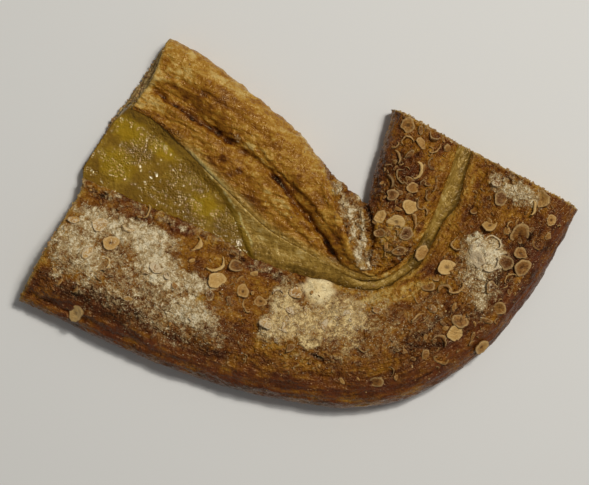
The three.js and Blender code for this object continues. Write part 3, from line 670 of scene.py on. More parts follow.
def baking(c, dark, smooth):
    """Level of baking, with painted shade in the fold grooves and painted light on the crests of
    the relief, but for the band along the custard.
    """
    bake = np.where(c.flap, 0.49, np.where(c.arm, 0.6, np.where(c.outer, 0.66, 0.5)))
    bake = bake + 0.4 * c.patches
    wheres = (c.flap, c.arm, c.outer_and_lip)
    for where, tones, seed in zip(wheres, (FLAP_TONES, ARM_TONES, OUTER_TONES), (300, 330, 350)):
        bake = np.where(where, tone(bake, c.x, c.y, tones, seed), bake)
    rim = fade_out(c.width - c.w, *FLAP_RIM["across"]) * c.flap * (c.r < FLAP_RIM["to_row"])
    bake = mix(bake, 0.24, 0.75 * rim)
    low_wall = ease((11 - c.z) / 6) * c.outer
    bake = bake + 0.1 * low_wall * (1 - ease((4 - c.z) / 3))
    bake = bake + np.where(c.flap, 0.2, 0.34) * c.mottle
    bake = bake + np.where(c.flap | c.outer, 0.22, 0.12) * c.streak
    # Painted light and shade: the crests of the wrinkles, pulls, fine skin and blisters are painted
    # lighter and their hollows darker, and dark adds the painted shade of the fold grooves.
    bake = bake - 0.24 * c.wrinkles - 0.14 * c.pulls - 0.08 * c.fine - 0.12 * c.blisters + dark
    bake = mix(bake, 0.76 + 0.5 * c.patches + 0.8 * c.streak + 0.8 * dark, 0.75 * smooth)
    toasted = fade_in(fbm(c.x / 3.2, c.y / 3.2, c.z / 3.2, seed=77, octaves=3), 0.6, 0.12)
    bake = bake + toasted * np.where(c.flap, 0.07, np.where(c.arm, 0.2, 0))
    return mix(bake, 0.22, 0.5 * bell(c.past_end, 0.16) * c.inner)


def add_sugar_lumps(c, relief, sugar):
    for i, (px, py, length, wide, turn, height) in enumerate(SUGAR_LUMPS):
        lump = patch(c.x, c.y, (px, py), (length, wide), turn, 0.3, 0.35, 400 + i) * c.outer
        relief = relief + height * lump
        sugar = np.maximum(sugar, 0.8 * lump)
    return relief, sugar


def add_flap_roll(c, relief, sugar):
    """The relief and sugar with the rolled end of the inner flap, and where that is."""
    gap, share = off_line(c.x, c.y, [stop[:2] for stop in FLAP_ROLL])
    half = np.interp(share, np.linspace(0, 1, len(FLAP_ROLL)), [stop[2] for stop in FLAP_ROLL])
    gap = gap / half + 0.5 * lumpy(3, 430, 2, c.x, c.y)
    roll = fade_out(gap, 0.75, 0.35) * c.inner
    knobs = lumpy(3.4, 431, 3, c.x, c.y)
    relief = relief + roll * (1.4 * np.sqrt(np.clip(1 - gap * gap, 0, 1)) + 4.2 * knobs)
    return relief, np.maximum(sugar, roll * (0.64 + 1.1 * knobs)), roll


def pale_marks(c):
    """Marks of the pale dough between the flaps, along their edges, and where the sheet is cut,
    with painted shade on the strip and a painted highlight along its crest.
    """
    first, last = PALE_LIP["rows"]
    near_lip = fade_out(c.w - c.lip_in, *PALE_LIP["across"])
    pale_lip = near_lip * fade_in(c.r, *first) * fade_out(c.r, *last)
    strip = np.where(c.floor, 1.0, 0.0)
    strip = np.where(c.flap | c.flap_lip, pale_lip * 0.85, strip)
    strip = np.where(c.outer_lip & (c.r > OPEN_STRIP_FROM), 0.15, strip)
    cutting = np.minimum(c.r / 0.13, (LAST_ROW - c.r) / 0.09) + 0.6 * c.mottle
    strip = np.maximum(strip, 0.8 * (1 - ease(cutting)) * ~c.under)
    between = np.clip((c.w - c.lip_out) / (c.lip_in - c.lip_out), 0, 1)
    ahead = c.r - strip_start(between) + 0.12 * lumpy(4, 91, 4, c.x, c.y)
    gel = (c.floor | c.flap_lip) * fade_out(ahead, -0.03, 0.05) * (c.w < c.lip_in - 0.8)
    # A painted highlight: a thin light line along the crest where the strip rises from the custard,
    # and along the inner flap's lip.
    crest_highlight = bell(ahead - 0.03, 0.028) * c.floor * fade_in(between, 0.25, 0.2)
    lip_highlight = bell(c.w - c.lip_in - 1.0, 0.7) * (c.flap_lip | c.flap)
    first, last = CREST_ON_LIP
    crest_highlight = np.maximum(crest_highlight, 0.7 * lip_highlight * fade_in(c.r, *first) * fade_out(c.r, *last))
    # Painted shade on the strip: darker towards its outer side, in a dark line under the overhang
    # of the outer lip, and in the rows of STRIP_SHADE.
    painted_shade = np.where(c.floor, ease(1.6 * (1 - between) - 0.5), 0)
    painted_shade = painted_shade + 1.2 * c.floor * bell(c.w - c.lip_out, 0.9) * (c.r > SHADED_LIP_FROM)
    darker = 0.5 * window(c.r, STRIP_SHADE[0]) + 1.1 * window(c.r, STRIP_SHADE[1])
    return dict(strip=strip, gel=gel, crest_highlight=crest_highlight, painted_shade=painted_shade + c.floor * darker)


def dough_marks(points, rows, lines, w, part):
    """Height of the fine relief over the smooth form, and the marks for the material."""
    c = Crust(points, rows, lines, w, part)
    sugar = sugar_on(c)
    relief, dark = add_folds(c, skin_relief(c, sugar))
    smooth = c.outer * fade_out(w, *SMOOTH_EDGE["across"]) * fade_in(c.r, *SMOOTH_EDGE["rows"])
    relief = relief * (1 - 0.5 * smooth) + smooth * (1.2 * c.pulls + 0.8 * c.streak)
    bake = baking(c, dark, smooth)

    # the rough, reddish edge of the outer flap along the custard
    band = fade_out(c.lip_out - w, *RED_BAND["across"]) * c.outer_and_lip
    band = band * fade_out(c.r, *RED_BAND["rows"])
    # The light film laid over the band is partly sugar and partly a painted sheen.
    sugar = sugar * (1 - 0.7 * band) + band * (0.3 + 0.22 * fade_in(c.clumps, 0.4, 0.2))
    # Painted light and shade: the band's raised wrinkles are painted lighter and their hollows
    # darker.
    bake = mix(bake, 0.8 + 0.8 * c.mottle - 1.1 * c.wrinkles, 0.92 * band)
    relief = relief + band * (2.0 * c.wrinkles + 0.9 * c.blisters)

    relief, sugar = add_sugar_lumps(c, relief, sugar)
    cream = patch(c.x, c.y, CREAM_LUMP[:2], CREAM_LUMP[2:4], CREAM_LUMP[4], 0.3, 0.3, 420)
    cream = cream * c.outer_and_lip
    knobs = noise(c.x / 4.5, c.y / 4.5, seed=421) - 0.5
    relief = relief * (1 - 0.6 * cream) + cream * (0.7 + 2.2 * knobs)
    relief, sugar, roll = add_flap_roll(c, relief, sugar)

    marks = pale_marks(c)
    warm = patch(c.x, c.y, WARM_SUGAR[:2], WARM_SUGAR[2:], 0, 0.4, 0.3, 440) * c.outer
    red = band + 0.6 * (c.r > ARM_RED_FROM) * c.arm + 0.5 * c.outer + 0.5 * smooth + 0.3 * roll
    soft = np.maximum(marks["strip"], 0.85 * c.flap * (1 - roll)) + 0.7 * smooth + 0.6 * cream
    for name, values in (("sugar", sugar), ("red", red), ("soft", soft)):
        marks[name] = np.clip(values, 0, 1)
    marks.update(bake=bake, cream=cream, warm=warm, along=c.s, across=w)
    quiet = np.where(c.under, 0, 1) * ease(c.z / 3)
    return relief * quiet * (1 - 0.6 * marks["gel"]) * 0.85 + 0.1 * marks["crest_highlight"], marks


def cut_columns(lines, row, end, out, seed, tops, across_w):
    """Points of a cut face, in columns down from its top points, and their marks."""
    foot_w = np.clip(across_w, WALL_TUCK, lines.width[end] - WALL_TUCK)
    level = np.linspace(0, 1, CUT_LEVELS + 1)[1:, None]
    height = tops[None, :, 2] * (1 - level)
    across = mix(across_w[None], foot_w[None], level)
    run = cut_run(np.full(height.shape, row), across / lines.width[end], height)
    depth = tops[None, :, 2] - height
    sway = fbm(across / 7, height / 5, seed=seed, octaves=3)
    sheet = np.sin((np.minimum(depth, height + 1.5) + 3.2 * sway) * 2.9)
    holes = fbm(across / 2.6, height / 1.1, seed=seed + 5)
    ragged = (0.4 * sheet + 1.4 * (holes - 0.5)) * np.minimum(level / 0.06, 1)
    column = np.zeros(height.shape + (3,))
    column[..., 2] = height
    column[..., :2] = lines.outer[end] + lines.across[end] * across[..., None]
    column[..., :2] += OUT_LEFT * run[..., None] + out * ragged[..., None]
    bake = 0.3 + 0.35 * ease(1 - depth / 1.6) + 0.2 * sway
    # Painted shade: the face is darker exactly where the ragged sheets are recessed, in the gaps
    # between the layers.
    layers_and_gap_shade = np.clip(0.5 - 0.5 * sheet + 0.6 * (0.5 - holes), 0.06, 1)
    marks = dict(bake=bake, strip=0.45, layers_and_gap_shade=layers_and_gap_shade, along=lines.along()[end], across=across)
    return column, marks


def build_dough(material):
    rows = even_rows(ROW_STEPS)
    lines, w, z, part = dough_sections(rows)
    points = place(lines, rows, w, z)
    relief, marks = dough_marks(points, rows, lines, w, part)
    points = points + loop_normals(points) * relief[..., None]
    points[..., 2] = np.maximum(points[..., 2], 0)
    index = np.arange(w.size).reshape(w.shape)
    all_points = [points.reshape(-1, 3)]
    all_marks = {name: [values.reshape(-1)] for name, values in marks.items()}
    all_marks["layers_and_gap_shade"] = [np.zeros(w.size)]
    faces = tube_faces(index)
    offset = w.size
    top = np.flatnonzero(part != UNDERSIDE)
    for end, out, seed in ((0, OUT_LEFT, 101), (len(rows) - 1, OUT_RIGHT, 102)):
        first = index[end][top]
        column, fill = cut_columns(
            lines, rows[end], end, out, seed, all_points[0][first], w[end][top]
        )
        shape = column.shape[:2]
        for name, values in all_marks.items():
            values.append((fill.get(name, 0.0) + np.zeros(shape)).reshape(-1))
        all_points.append(column.reshape(-1, 3))
        new = np.arange(shape[0] * shape[1]).reshape(shape) + offset
        offset += new.size
        levels = np.concatenate([first[None], new], 0)
        p, q = levels[:-1, :-1], levels[:-1, 1:]
        s, t = levels[1:, 1:], levels[1:, :-1]
        quads = np.stack([p, q, s, t] if end == 0 else [q, p, t, s], -1)
        faces += quads.reshape(-1, 4).tolist()
    marks = {name: np.concatenate(values) for name, values in all_marks.items()}
    return make_object("dough", np.concatenate(all_points), faces, material, marks)


# ---------------------------------------------------------------- custard

CUSTARD_ROWS = dict(open=250, covered=50, open_to=3.6)
CUSTARD_LOOP = dict(base=9, top=120)
# Deep yellow stretches, as [x, y, half length, half width].
CUSTARD_RICH = [(-87, 48, 9, 6), (-94, 31, 9, 7), (-48, 9, 8, 6), (-70, 38, 8, 4)]


def build_custard(material):
    fine = even_rows(2000)
    split = np.searchsorted(fine, CUSTARD_ROWS["open_to"])
    open_rows = fine[np.linspace(0, split, CUSTARD_ROWS["open"]).astype(int)]
    covered = fine[np.linspace(split, len(fine) - 1, CUSTARD_ROWS["covered"]).astype(int)][1:]
    rows = np.concatenate([open_rows, covered])
    lines = Lines(rows)
    r = rows[:, None]
    start = lines.outer_lip[:, None] - CUSTARD_UNDER
    end = lines.inner_lip[:, None] + CUSTARD_UNDER
    top = custard_top(r)
    edge = mix(CUSTARD_BASE, top, CUSTARD_EDGE_LEVEL)
    share = np.linspace(0, 1, CUSTARD_LOOP["base"])[None]
    w_low = mix(end, start, share)
    lift = (edge - CUSTARD_EDGE / 2 - CUSTARD_BASE) * np.abs(2 * share - 1) ** 3
    z_low = CUSTARD_BASE + lift
    share = np.linspace(0, 1, CUSTARD_LOOP["top"])[None]
    w_top = mix(start, end, share)
    z_top = top - (top - edge - CUSTARD_EDGE / 2) * np.abs(2 * share - 1) ** 3
    w = np.concatenate([w_low, w_top], 1)
    points = place(lines, rows, w, np.concatenate([z_low, z_top], 1))
    x, y = points[..., 0], points[..., 1]
    on_top = np.repeat([0.0, 1.0], [CUSTARD_LOOP["base"], CUSTARD_LOOP["top"]])[None]
    pits = ridged(x / 2.6, y / 2.6, seed=207, octaves=3) - 0.6
    open_part = fade_out(r, 3.2, 0.4)
    points[..., 2] += on_top * open_part * (1.7 * lumpy(7, 201, 3, x, y) + 0.7 * pits)
    lip_in = lines.inner_lip[:, None]
    meniscus = fade_out(lip_in + 0.6 - w, 0, 6.5)
    points[..., 2] += on_top * open_part * 2.7 * meniscus * (w < lip_in + 2)
    # the cut ends swell out of the dough a little
    along = lines.along()[:, None]
    for way, off in ((OUT_LEFT, along), (OUT_RIGHT, along[-1] - along)):
        out = 0.35 * bell(off, 1)
        points[..., 0] += way[0] * out
        points[..., 1] += way[1] * out
    index = np.arange(x.size).reshape(x.shape)
    faces = tube_faces(index)
    faces.append(index[0].tolist())
    faces.append(index[-1][::-1].tolist())
    rich = np.zeros(x.shape)
    for i, (px, py, length, width) in enumerate(CUSTARD_RICH):
        rich = np.maximum(rich, patch(x, y, (px, py), (length, width), -30, 0.5, 0.4, 211 + i))
    marks = dict(rich=rich.reshape(-1))
    return make_object("custard_fill", points.reshape(-1, 3), faces, material, marks)


# ---------------------------------------------------------------- hazelnuts

SLICE, CRESCENT, CHIP = "slice", "crescent", "chip"
NUT_NAMES = {SLICE: "hazelnut_slices", CRESCENT: "hazelnut_crescents", CHIP: "hazelnut_chips"}
# Landmarks, as [x, y, radius, kind, turn in degrees, toasting, hollow of the heart, which is also
# painted dark as shade].
LANDMARK_NUTS = [
    (-96.2, -9.9, 4.4, SLICE, 0, 0.45, 1.0), (-113.9, -45.8, 4.6, SLICE, 30, 0.12, 0.5),
    (-86.8, -1.0, 4.2, CRESCENT, 200, 0.3, 0.0), (-79.6, 6.2, 4.0, CRESCENT, 250, 0.4, 0.0),
    (-102.0, -0.5, 4.0, SLICE, 10, 0.5, 0.3), (-115.4, 1.8, 3.4, CHIP, 0, 0.5, 0.0),
    (-107.9, -15.1, 3.6, CHIP, 40, 0.4, 0.0), (-99.0, -19.6, 3.2, CRESCENT, 300, 0.2, 0.0),
    (-42.6, -20.8, 5.0, CRESCENT, 215, 0.1, 0.0), (-53.8, -9.6, 4.6, CRESCENT, 240, 0.3, 0.0),
    (-32.0, -21.8, 4.0, SLICE, 0, 0.95, 0.6), (-25.5, -17.2, 4.4, CRESCENT, 100, 0.45, 0.0),
    (-42.1, -29.1, 4.6, SLICE, 20, 0.3, 0.15), (-16.6, -51.5, 3.8, SLICE, 60, 0.4, 0.3),
    (76.4, -22.4, 4.6, SLICE, 0, 0.2, 0.8), (80.0, -55.8, 4.4, SLICE, 20, 0.3, 0.2),
    (93.9, -63.2, 4.0, SLICE, 0, 0.55, 1.0), (113.4, -5.0, 5.4, SLICE, 15, 0.8, 1.0),
    (98.5, -1.0, 4.4, SLICE, 40, 0.4, 1.0), (99.8, -9.9, 4.4, CRESCENT, 320, 0.4, 0.0),
    (118.4, 7.8, 4.4, CRESCENT, 260, 0.3, 0.0), (125.3, 12.5, 4.4, SLICE, 70, 0.5, 0.3),
    (114.4, -22.4, 4.6, SLICE, 10, 0.8, 1.0), (50.4, 1.0, 4.6, SLICE, 0, 0.1, 0.8),
    (42.1, 3.6, 3.8, CHIP, 20, 0.4, 0.0), (57.2, 8.8, 4.2, SLICE, 0, 0.3, 0.15),
    (60.6, 28.1, 4.6, CRESCENT, 270, 0.2, 0.0), (64.0, -14.6, 4.6, CHIP, 65, 0.5, 0.0),
]
DARKER_FROM = 38  # scattered pieces right of this x are toasted more
LARGE_NUT = 2.4  # smaller pieces are thinner, sunk a little and more tilted
NUT_SEED = 6406
NUT_SPACING = 6.4
NUT_TRIES = 400
CHIP_SIZE = 0.75
NUT_ZONES = [
    dict(rows=(0.3, 2.6), shares=(0.1, 0.42), slice=2, crescent=3, chip=4, radius=(2.6, 3.8)),
    dict(rows=(2.0, 4.3), shares=(0.3, 0.47), slice=3, crescent=3, chip=4, radius=(2.6, 4.2)),
    dict(rows=(4.0, 8.0), shares=(0.12, 0.5), slice=2, crescent=2, chip=4, radius=(2.4, 3.6)),
    dict(rows=(8.0, 14.8), shares=(0.08, 0.46), slice=9, crescent=9, chip=9, radius=(2.8, 4.8)),
    dict(rows=(8.2, 14.8), shares=(0.7, 0.93), slice=6, crescent=10, chip=8, radius=(2.8, 4.6)),
]
# Small bits between the others, as [rows, shares, count, greatest radius].
BIT_ZONES = [
    ((0.2, 3.6), (0.12, 0.46), 60, 2.0),
    ((3.6, 8.0), (0.1, 0.5), 50, 1.8),
    ((8.0, 14.9), (0.05, 0.5), 120, 2.2),
    ((8.0, 14.9), (0.68, 0.97), 110, 2.4),
    ((5.6, 7.2), (0.8, 0.97), 14, 1.8),
]


def seeded_draw(seed):
    state = seed

    def draw():
        nonlocal state
        state = (state * 16807) % 2147483647
        return state / 2147483647

    return draw


def nut_places():
    """The same places as on the solids, with toasting and hollow for the landmarks."""
    nuts = [(*nut[:4], math.radians(nut[4]), *nut[5:]) for nut in LANDMARK_NUTS]
    draw = seeded_draw(NUT_SEED)
    for zone in NUT_ZONES:
        for kind in (SLICE, CRESCENT, CHIP):
            left, tries = zone[kind], 0
            while left > 0 and tries < NUT_TRIES:
                tries += 1
                row = mix(*zone["rows"], draw())
                x, y = spot(row, mix(*zone["shares"], draw()))
                radius = mix(*zone["radius"], draw()) * (CHIP_SIZE if kind == CHIP else 1)
                turn = draw() * math.pi * 2
                if all(math.hypot(n[0] - x, n[1] - y) > NUT_SPACING for n in nuts):
                    nuts.append((x, y, radius, kind, turn, None, None))
                    left -= 1
    return nuts


class Surface:
    """Finds the top of the dough and its slope under a place in plan."""

    def __init__(self, thing):
        mesh = thing.data
        points = np.empty(len(mesh.vertices) * 3)
        mesh.vertices.foreach_get("co", points)
        polygons = [tuple(p.vertices) for p in mesh.polygons]
        self.tree = BVHTree.FromPolygons([tuple(p) for p in points.reshape(-1, 3)], polygons)

    def under(self, x, y):
        hit = self.tree.ray_cast(Vector((x * MM, y * MM, 0.1)), Vector((0, 0, -1)))
        if hit[0] is None:
            return None
        return np.array(hit[0]) / MM, np.array(hit[1])

    def lie(self, x, y, spread):
        """Mean point and normal of the surface over a small area, nearer its highest point."""
        turns = np.arange(6) * math.pi / 3
        around = [(x + spread * math.cos(t), y + spread * math.sin(t)) for t in turns]
        hits = [h for h in (self.under(*at) for at in [(x, y)] + around) if h is not None]
        if len(hits) < 4:
            return None
        point = np.mean([h[0] for h in hits], axis=0)
        normal = np.sum([h[1] for h in hits], axis=0)
        point[0], point[1] = x, y
        point[2] = mix(point[2], max(h[0][2] for h in hits), 0.3)
        return point, normal / np.linalg.norm(normal)


# Rings of a nut from the middle out, with the height of its top at each as a share. Those of a
# crescent start at its inner edge.
NUT_RINGS = {
    SLICE: [(0.0, 0.0), (0.16, 0.05), (0.3, 0.7), (0.42, 0.95), (0.62, 0.75), (0.84, 1.0),
            (0.96, 0.9), (1.0, 0.45)],
    CRESCENT: [(0.0, 0.3), (0.12, 0.95), (0.5, 1.0), (0.87, 0.95), (1.0, 0.4)],
    CHIP: [(0.0, 0.9), (0.5, 1.0), (0.9, 0.85), (1.0, 0.3)],
}
NUT_SIDES = {SLICE: 26, CRESCENT: 18, CHIP: 8}
NUT_ROUGH = {SLICE: 0.05, CRESCENT: 0.05, CHIP: 0.2}
# Ranges that shapes are drawn from: thickness in mm, and the others as shares of the radius, or
# of half a turn for the span.
NUT_THICK, CRESCENT_THICK = (0.9, 1.5), (1.0, 2.3)
CRESCENT_INNER, CRESCENT_SPAN = (0.42, 0.82), (0.6, 1.35)
CHIP_OVAL, WHOLE_OVAL, NUT_OVAL = (0.35, 0.8), (0.84, 0.97), (0.72, 0.97)
BITTEN, BITE_DEPTH, BITE_WIDTH = 0.7, (0.15, 0.4), 0.45
BEND = (-0.45, 0.6)


def nut_faces(levels, n, closed):
    """Quads of the top, the underside and the rim, and of a crescent's inner edge and ends."""
    grid = np.arange(2 * levels * n).reshape(2, levels, n)
    step = np.arange(n if closed else n - 1)
    following = (step + 1) % n
    faces = []

    def band(near, far, flip):
        quads = np.stack([near[step], far[step], far[following], near[following]], -1)
        faces.extend((quads[:, ::-1] if flip else quads).tolist())

    for ring in range(levels - 1):
        band(grid[0, ring], grid[0, ring + 1], False)
        band(grid[1, ring], grid[1, ring + 1], True)
    band(grid[0, -1], grid[1, -1], False)
    if not closed:
        band(grid[0, 0], grid[1, 0], True)
        for k, flip in ((0, False), (n - 1, True)):
            for ring in range(levels - 1):
                corners = ((0, 0), (1, 0), (1, 1), (0, 1))
                quad = [int(grid[side, ring + out, k]) for side, out in corners]
                faces.append(quad[::-1] if flip else quad)
    return faces


def nut_shape(kind, radius, hollow, whole, rng):
    """Points and faces of one piece of nut round the origin, with its marks."""
    rings, sides, closed = NUT_RINGS[kind], NUT_SIDES[kind], kind != CRESCENT
    thick = rng.uniform(*NUT_THICK)
    if not closed:
        inner = rng.uniform(*CRESCENT_INNER)
        rings = [(mix(inner, 1.0, ring), up) for ring, up in rings]
        thick = rng.uniform(*CRESCENT_THICK)
    span = 2 * math.pi if closed else rng.uniform(*CRESCENT_SPAN) * math.pi
    oval = rng.uniform(*(CHIP_OVAL if kind == CHIP else WHOLE_OVAL if whole else NUT_OVAL))
    if hollow is None:
        hollow = rng.choice([0.15, 0.6, 1.0], p=[0.4, 0.35, 0.25])
    turns = np.arange(sides if closed else sides + 1) / sides * span
    if not closed:
        turns = turns + (math.pi - span) / 2
    n = len(turns)
    phase = rng.uniform(0, 9)
    uneven = 1 + 0.08 * np.sin(2 * turns + phase) + 0.07 * np.sin(3 * turns + 2 * phase)
    uneven = uneven + 0.04 * np.sin(5 * turns + 3 * phase)
    uneven = uneven + NUT_ROUGH[kind] * rng.uniform(-1, 1, n)
    if kind == SLICE and not whole and rng.uniform() < BITTEN:
        off = (turns - rng.uniform(0, 6.28) + math.pi) % (2 * math.pi) - math.pi
        uneven = uneven - rng.uniform(*BITE_DEPTH) * bell(off, BITE_WIDTH)
    taper = np.ones(n)
    if not closed:
        share = np.arange(n) / (n - 1)
        taper = np.sqrt(np.clip(np.minimum(share, 1 - share) / 0.35, 0.12, 1))
        uneven = uneven + rng.uniform(-0.35, 0.35) * (share - 0.5)
    inside = 1 + 0.14 * np.sin(2 * turns + 2 * phase) + 0.08 * rng.uniform(-1, 1, n)
    bend = rng.uniform(*BEND) * radius
    points, ring_of, rim, heart_shade = [], [], [], []
    for side in (1, -1):
        for ring, up in rings:
            if kind == SLICE:
                up = mix(1.0, up, hollow)
            edge = mix(inside, uneven, fade_in(ring, 0.4, 0.4))
            reach = radius * (1 - (1 - ring) * taper) * edge
            x, y = reach * np.cos(turns), reach * oval * np.sin(turns)
            z = side * thick / 2 * (up if side > 0 else 0.8)
            z = z + bend * 0.5 * (ring * np.cos(turns)) ** 2
            points.append(np.stack([x, y, z + 0.07 * rng.uniform(-1, 1, n)], -1))
            ring_of.append(np.full(n, ring))
            rim.append(np.full(n, float(ring > 0.97)))
            # Painted shade darkens the sunken heart of a slice.
            heart_shade.append(np.full(n, hollow * fade_out(ring, 0.1, 0.25) if kind == SLICE else 0))
    points = np.concatenate(points)
    faces = nut_faces(len(rings), n, closed)
    marks = dict(ring=ring_of, rim=rim, heart_shade=heart_shade)
    return points, faces, {name: np.concatenate(values) for name, values in marks.items()}


def lay(points, at, normal, turn, tilt, rng):
    """Points turned to a slope, tilted a little and moved to a place."""
    up = (Vector(normal) + Vector((rng.normal(0, tilt), rng.normal(0, tilt), 0))).normalized()
    to_slope = np.array(Vector((0, 0, 1)).rotation_difference(up).to_matrix())
    c, s = math.cos(turn), math.sin(turn)
    spin = np.array([[c, -s, 0], [s, c, 0], [0, 0, 1]])
    return points @ spin.T @ to_slope.T + at


def build_nuts(surface, material):
    rng = np.random.default_rng(77)
    groups = {SLICE: [], CRESCENT: [], CHIP: []}
    for x, y, radius, kind, turn, toast, hollow in nut_places():
        groups[kind].append((x, y, radius, turn, toast, hollow))
    for rows, shares, count, greatest in BIT_ZONES:
        for _ in range(count):
            x, y = spot(rng.uniform(*rows), rng.uniform(*shares))
            kind = CHIP if rng.uniform() < 0.6 else CRESCENT
            radius = mix(0.6, greatest, rng.uniform() ** 1.5)
            groups[kind].append((x, y, radius, rng.uniform(0, 2 * math.pi), None, None))
    made = []
    for kind, name in NUT_NAMES.items():
        all_points, all_faces, offset = [], [], 0
        all_marks = dict(ring=[], rim=[], heart_shade=[], toast=[], sugar=[])
        for x, y, radius, turn, toast, hollow in groups[kind]:
            found = surface.lie(x, y, radius * 0.6)
            if found is None:
                continue
            at, normal = found
            points, faces, marks = nut_shape(kind, radius, hollow, toast is not None, rng)
            large = radius > LARGE_NUT
            points = points * np.array([1, 1, 1 if large else 0.7])
            lift = rng.uniform(0.0, 0.5) if large else rng.uniform(-0.1, 0.2)
            points = lay(points, at + normal * lift, normal, turn, 0.26 if large else 0.4, rng)
            all_points.append(points)
            all_faces += [[v + offset for v in f] for f in faces]
            offset += len(points)
            cover = float(sugar_cover(np.array([x]), np.array([y]))[0])
            marks["sugar"] = np.full(len(points), cover)
            if toast is None:
                toast = mix(0.6 if x > DARKER_FROM else 0.35, 1.05, rng.beta(1.3, 1.2))
            marks["toast"] = np.full(len(points), toast)
            for mark, values in marks.items():
                all_marks[mark].append(values)
        marks = {mark: np.concatenate(values) for mark, values in all_marks.items()}
        made.append(make_object(name, np.concatenate(all_points), all_faces, material, marks))
    return made


# ---------------------------------------------------------------- sugar, crumbs and flakes

GRAIN = np.array([(1, 0, 0), (0, 1, 0), (-1, 0, 0), (0, -1, 0), (0, 0, 1), (0, 0, -1)], float)
GRAIN_FACES = [(0, 1, 4), (1, 2, 4), (2, 3, 4), (3, 0, 4), (1, 0, 5), (2, 1, 5), (3, 2, 5),
               (0, 3, 5)]
SUGAR_TRIES, MOST_GRAINS = 200000, 9000
CUT_CRUMBS, CRUST_CRUMBS = (620, 560), 420
LOWEST_GRAIN, LOWEST_CRUMB = 2, 11  # heights in mm


class Bits:
    """Small angular bodies in one mesh."""

    def __init__(self):
        self.points, self.faces = [], []

    def add(self, body):
        start = len(self.points) * len(GRAIN)
        self.points.append(body)
        self.faces.extend(tuple(start + v for v in f) for f in GRAIN_FACES)

    def add_grain(self, at, normal, size, flatness, sink, rng):
        """A grain that lies on the surface, raised by a share of its size."""
        body = GRAIN * size * rng.uniform(0.7, 1.25, (1, 3)) * np.array([1, 1, flatness])
        self.add(lay(body, at + normal * size * sink, normal, rng.uniform(0, 6.28), 0.5, rng))

    def make(self, name, material):
        return make_object(name, np.concatenate(self.points), self.faces, material, smooth=False)


def build_sugar(surface, material):
    rng = np.random.default_rng(501)
    x = rng.uniform(-145, 146, SUGAR_TRIES)
    y = rng.uniform(-96, 96, SUGAR_TRIES)
    chance = sugar_cover(x, y) ** 2.2 * (0.25 + 1.2 * (sugar_clumps(x, y) > 0.47)) * 0.8
    places = np.stack([x, y], -1)[rng.uniform(0, 1, len(x)) < chance][:MOST_GRAINS]
    sizes = rng.uniform(0.12, 0.34, len(places))
    grains = Bits()
    for place_here, size in zip(places, sizes):
        hit = surface.under(*place_here)
        if hit is not None and hit[0][2] >= LOWEST_GRAIN:
            grains.add_grain(*hit, size, 0.8, 0.3, rng)
    return grains.make("sugar_grains", material)


def build_crumbs(surface, material):
    """Flakes and crumbs that stand out of both cuts and lie on the crust."""
    rng = np.random.default_rng(601)
    crumbs = Bits()
    for row, out, count in zip((0.0, float(LAST_ROW)), (OUT_LEFT, OUT_RIGHT), CUT_CRUMBS):
        lines = Lines(np.array([row]))
        for _ in range(count):
            share = rng.uniform(0.02, 0.98)
            hit = surface.under(*(spot(row, share) - out * 0.8))
            if hit is None:
                continue
            z = max(1.2, hit[0][2] * (1 - 0.9 * rng.uniform() ** 1.6))
            at = place(lines, np.array([row]), share * lines.width[:, None], np.array([[z]]))[0, 0]
            at[:2] += out * (rng.uniform(-0.4, 1.0) if z < 4 else rng.uniform(-0.9, 0.25))
            size = rng.uniform(0.5, 1.5)
            flake = GRAIN * np.array([size, size * rng.uniform(0.4, 0.9), 0.22])
            crumbs.add(lay(flake, at, np.array([0.0, 0.0, 1.0]), rng.uniform(0, 6.28), 0.35, rng))
    for _ in range(CRUST_CRUMBS):
        hit = surface.under(*spot(rng.uniform(0, LAST_ROW), rng.uniform(0.03, 0.97)))
        if hit is not None and hit[0][2] >= LOWEST_CRUMB:
            crumbs.add_grain(*hit, rng.uniform(0.25, 0.7), 0.35, 0.15, rng)
    return crumbs.make("crumbs", material)


# ---------------------------------------------------------------- materials


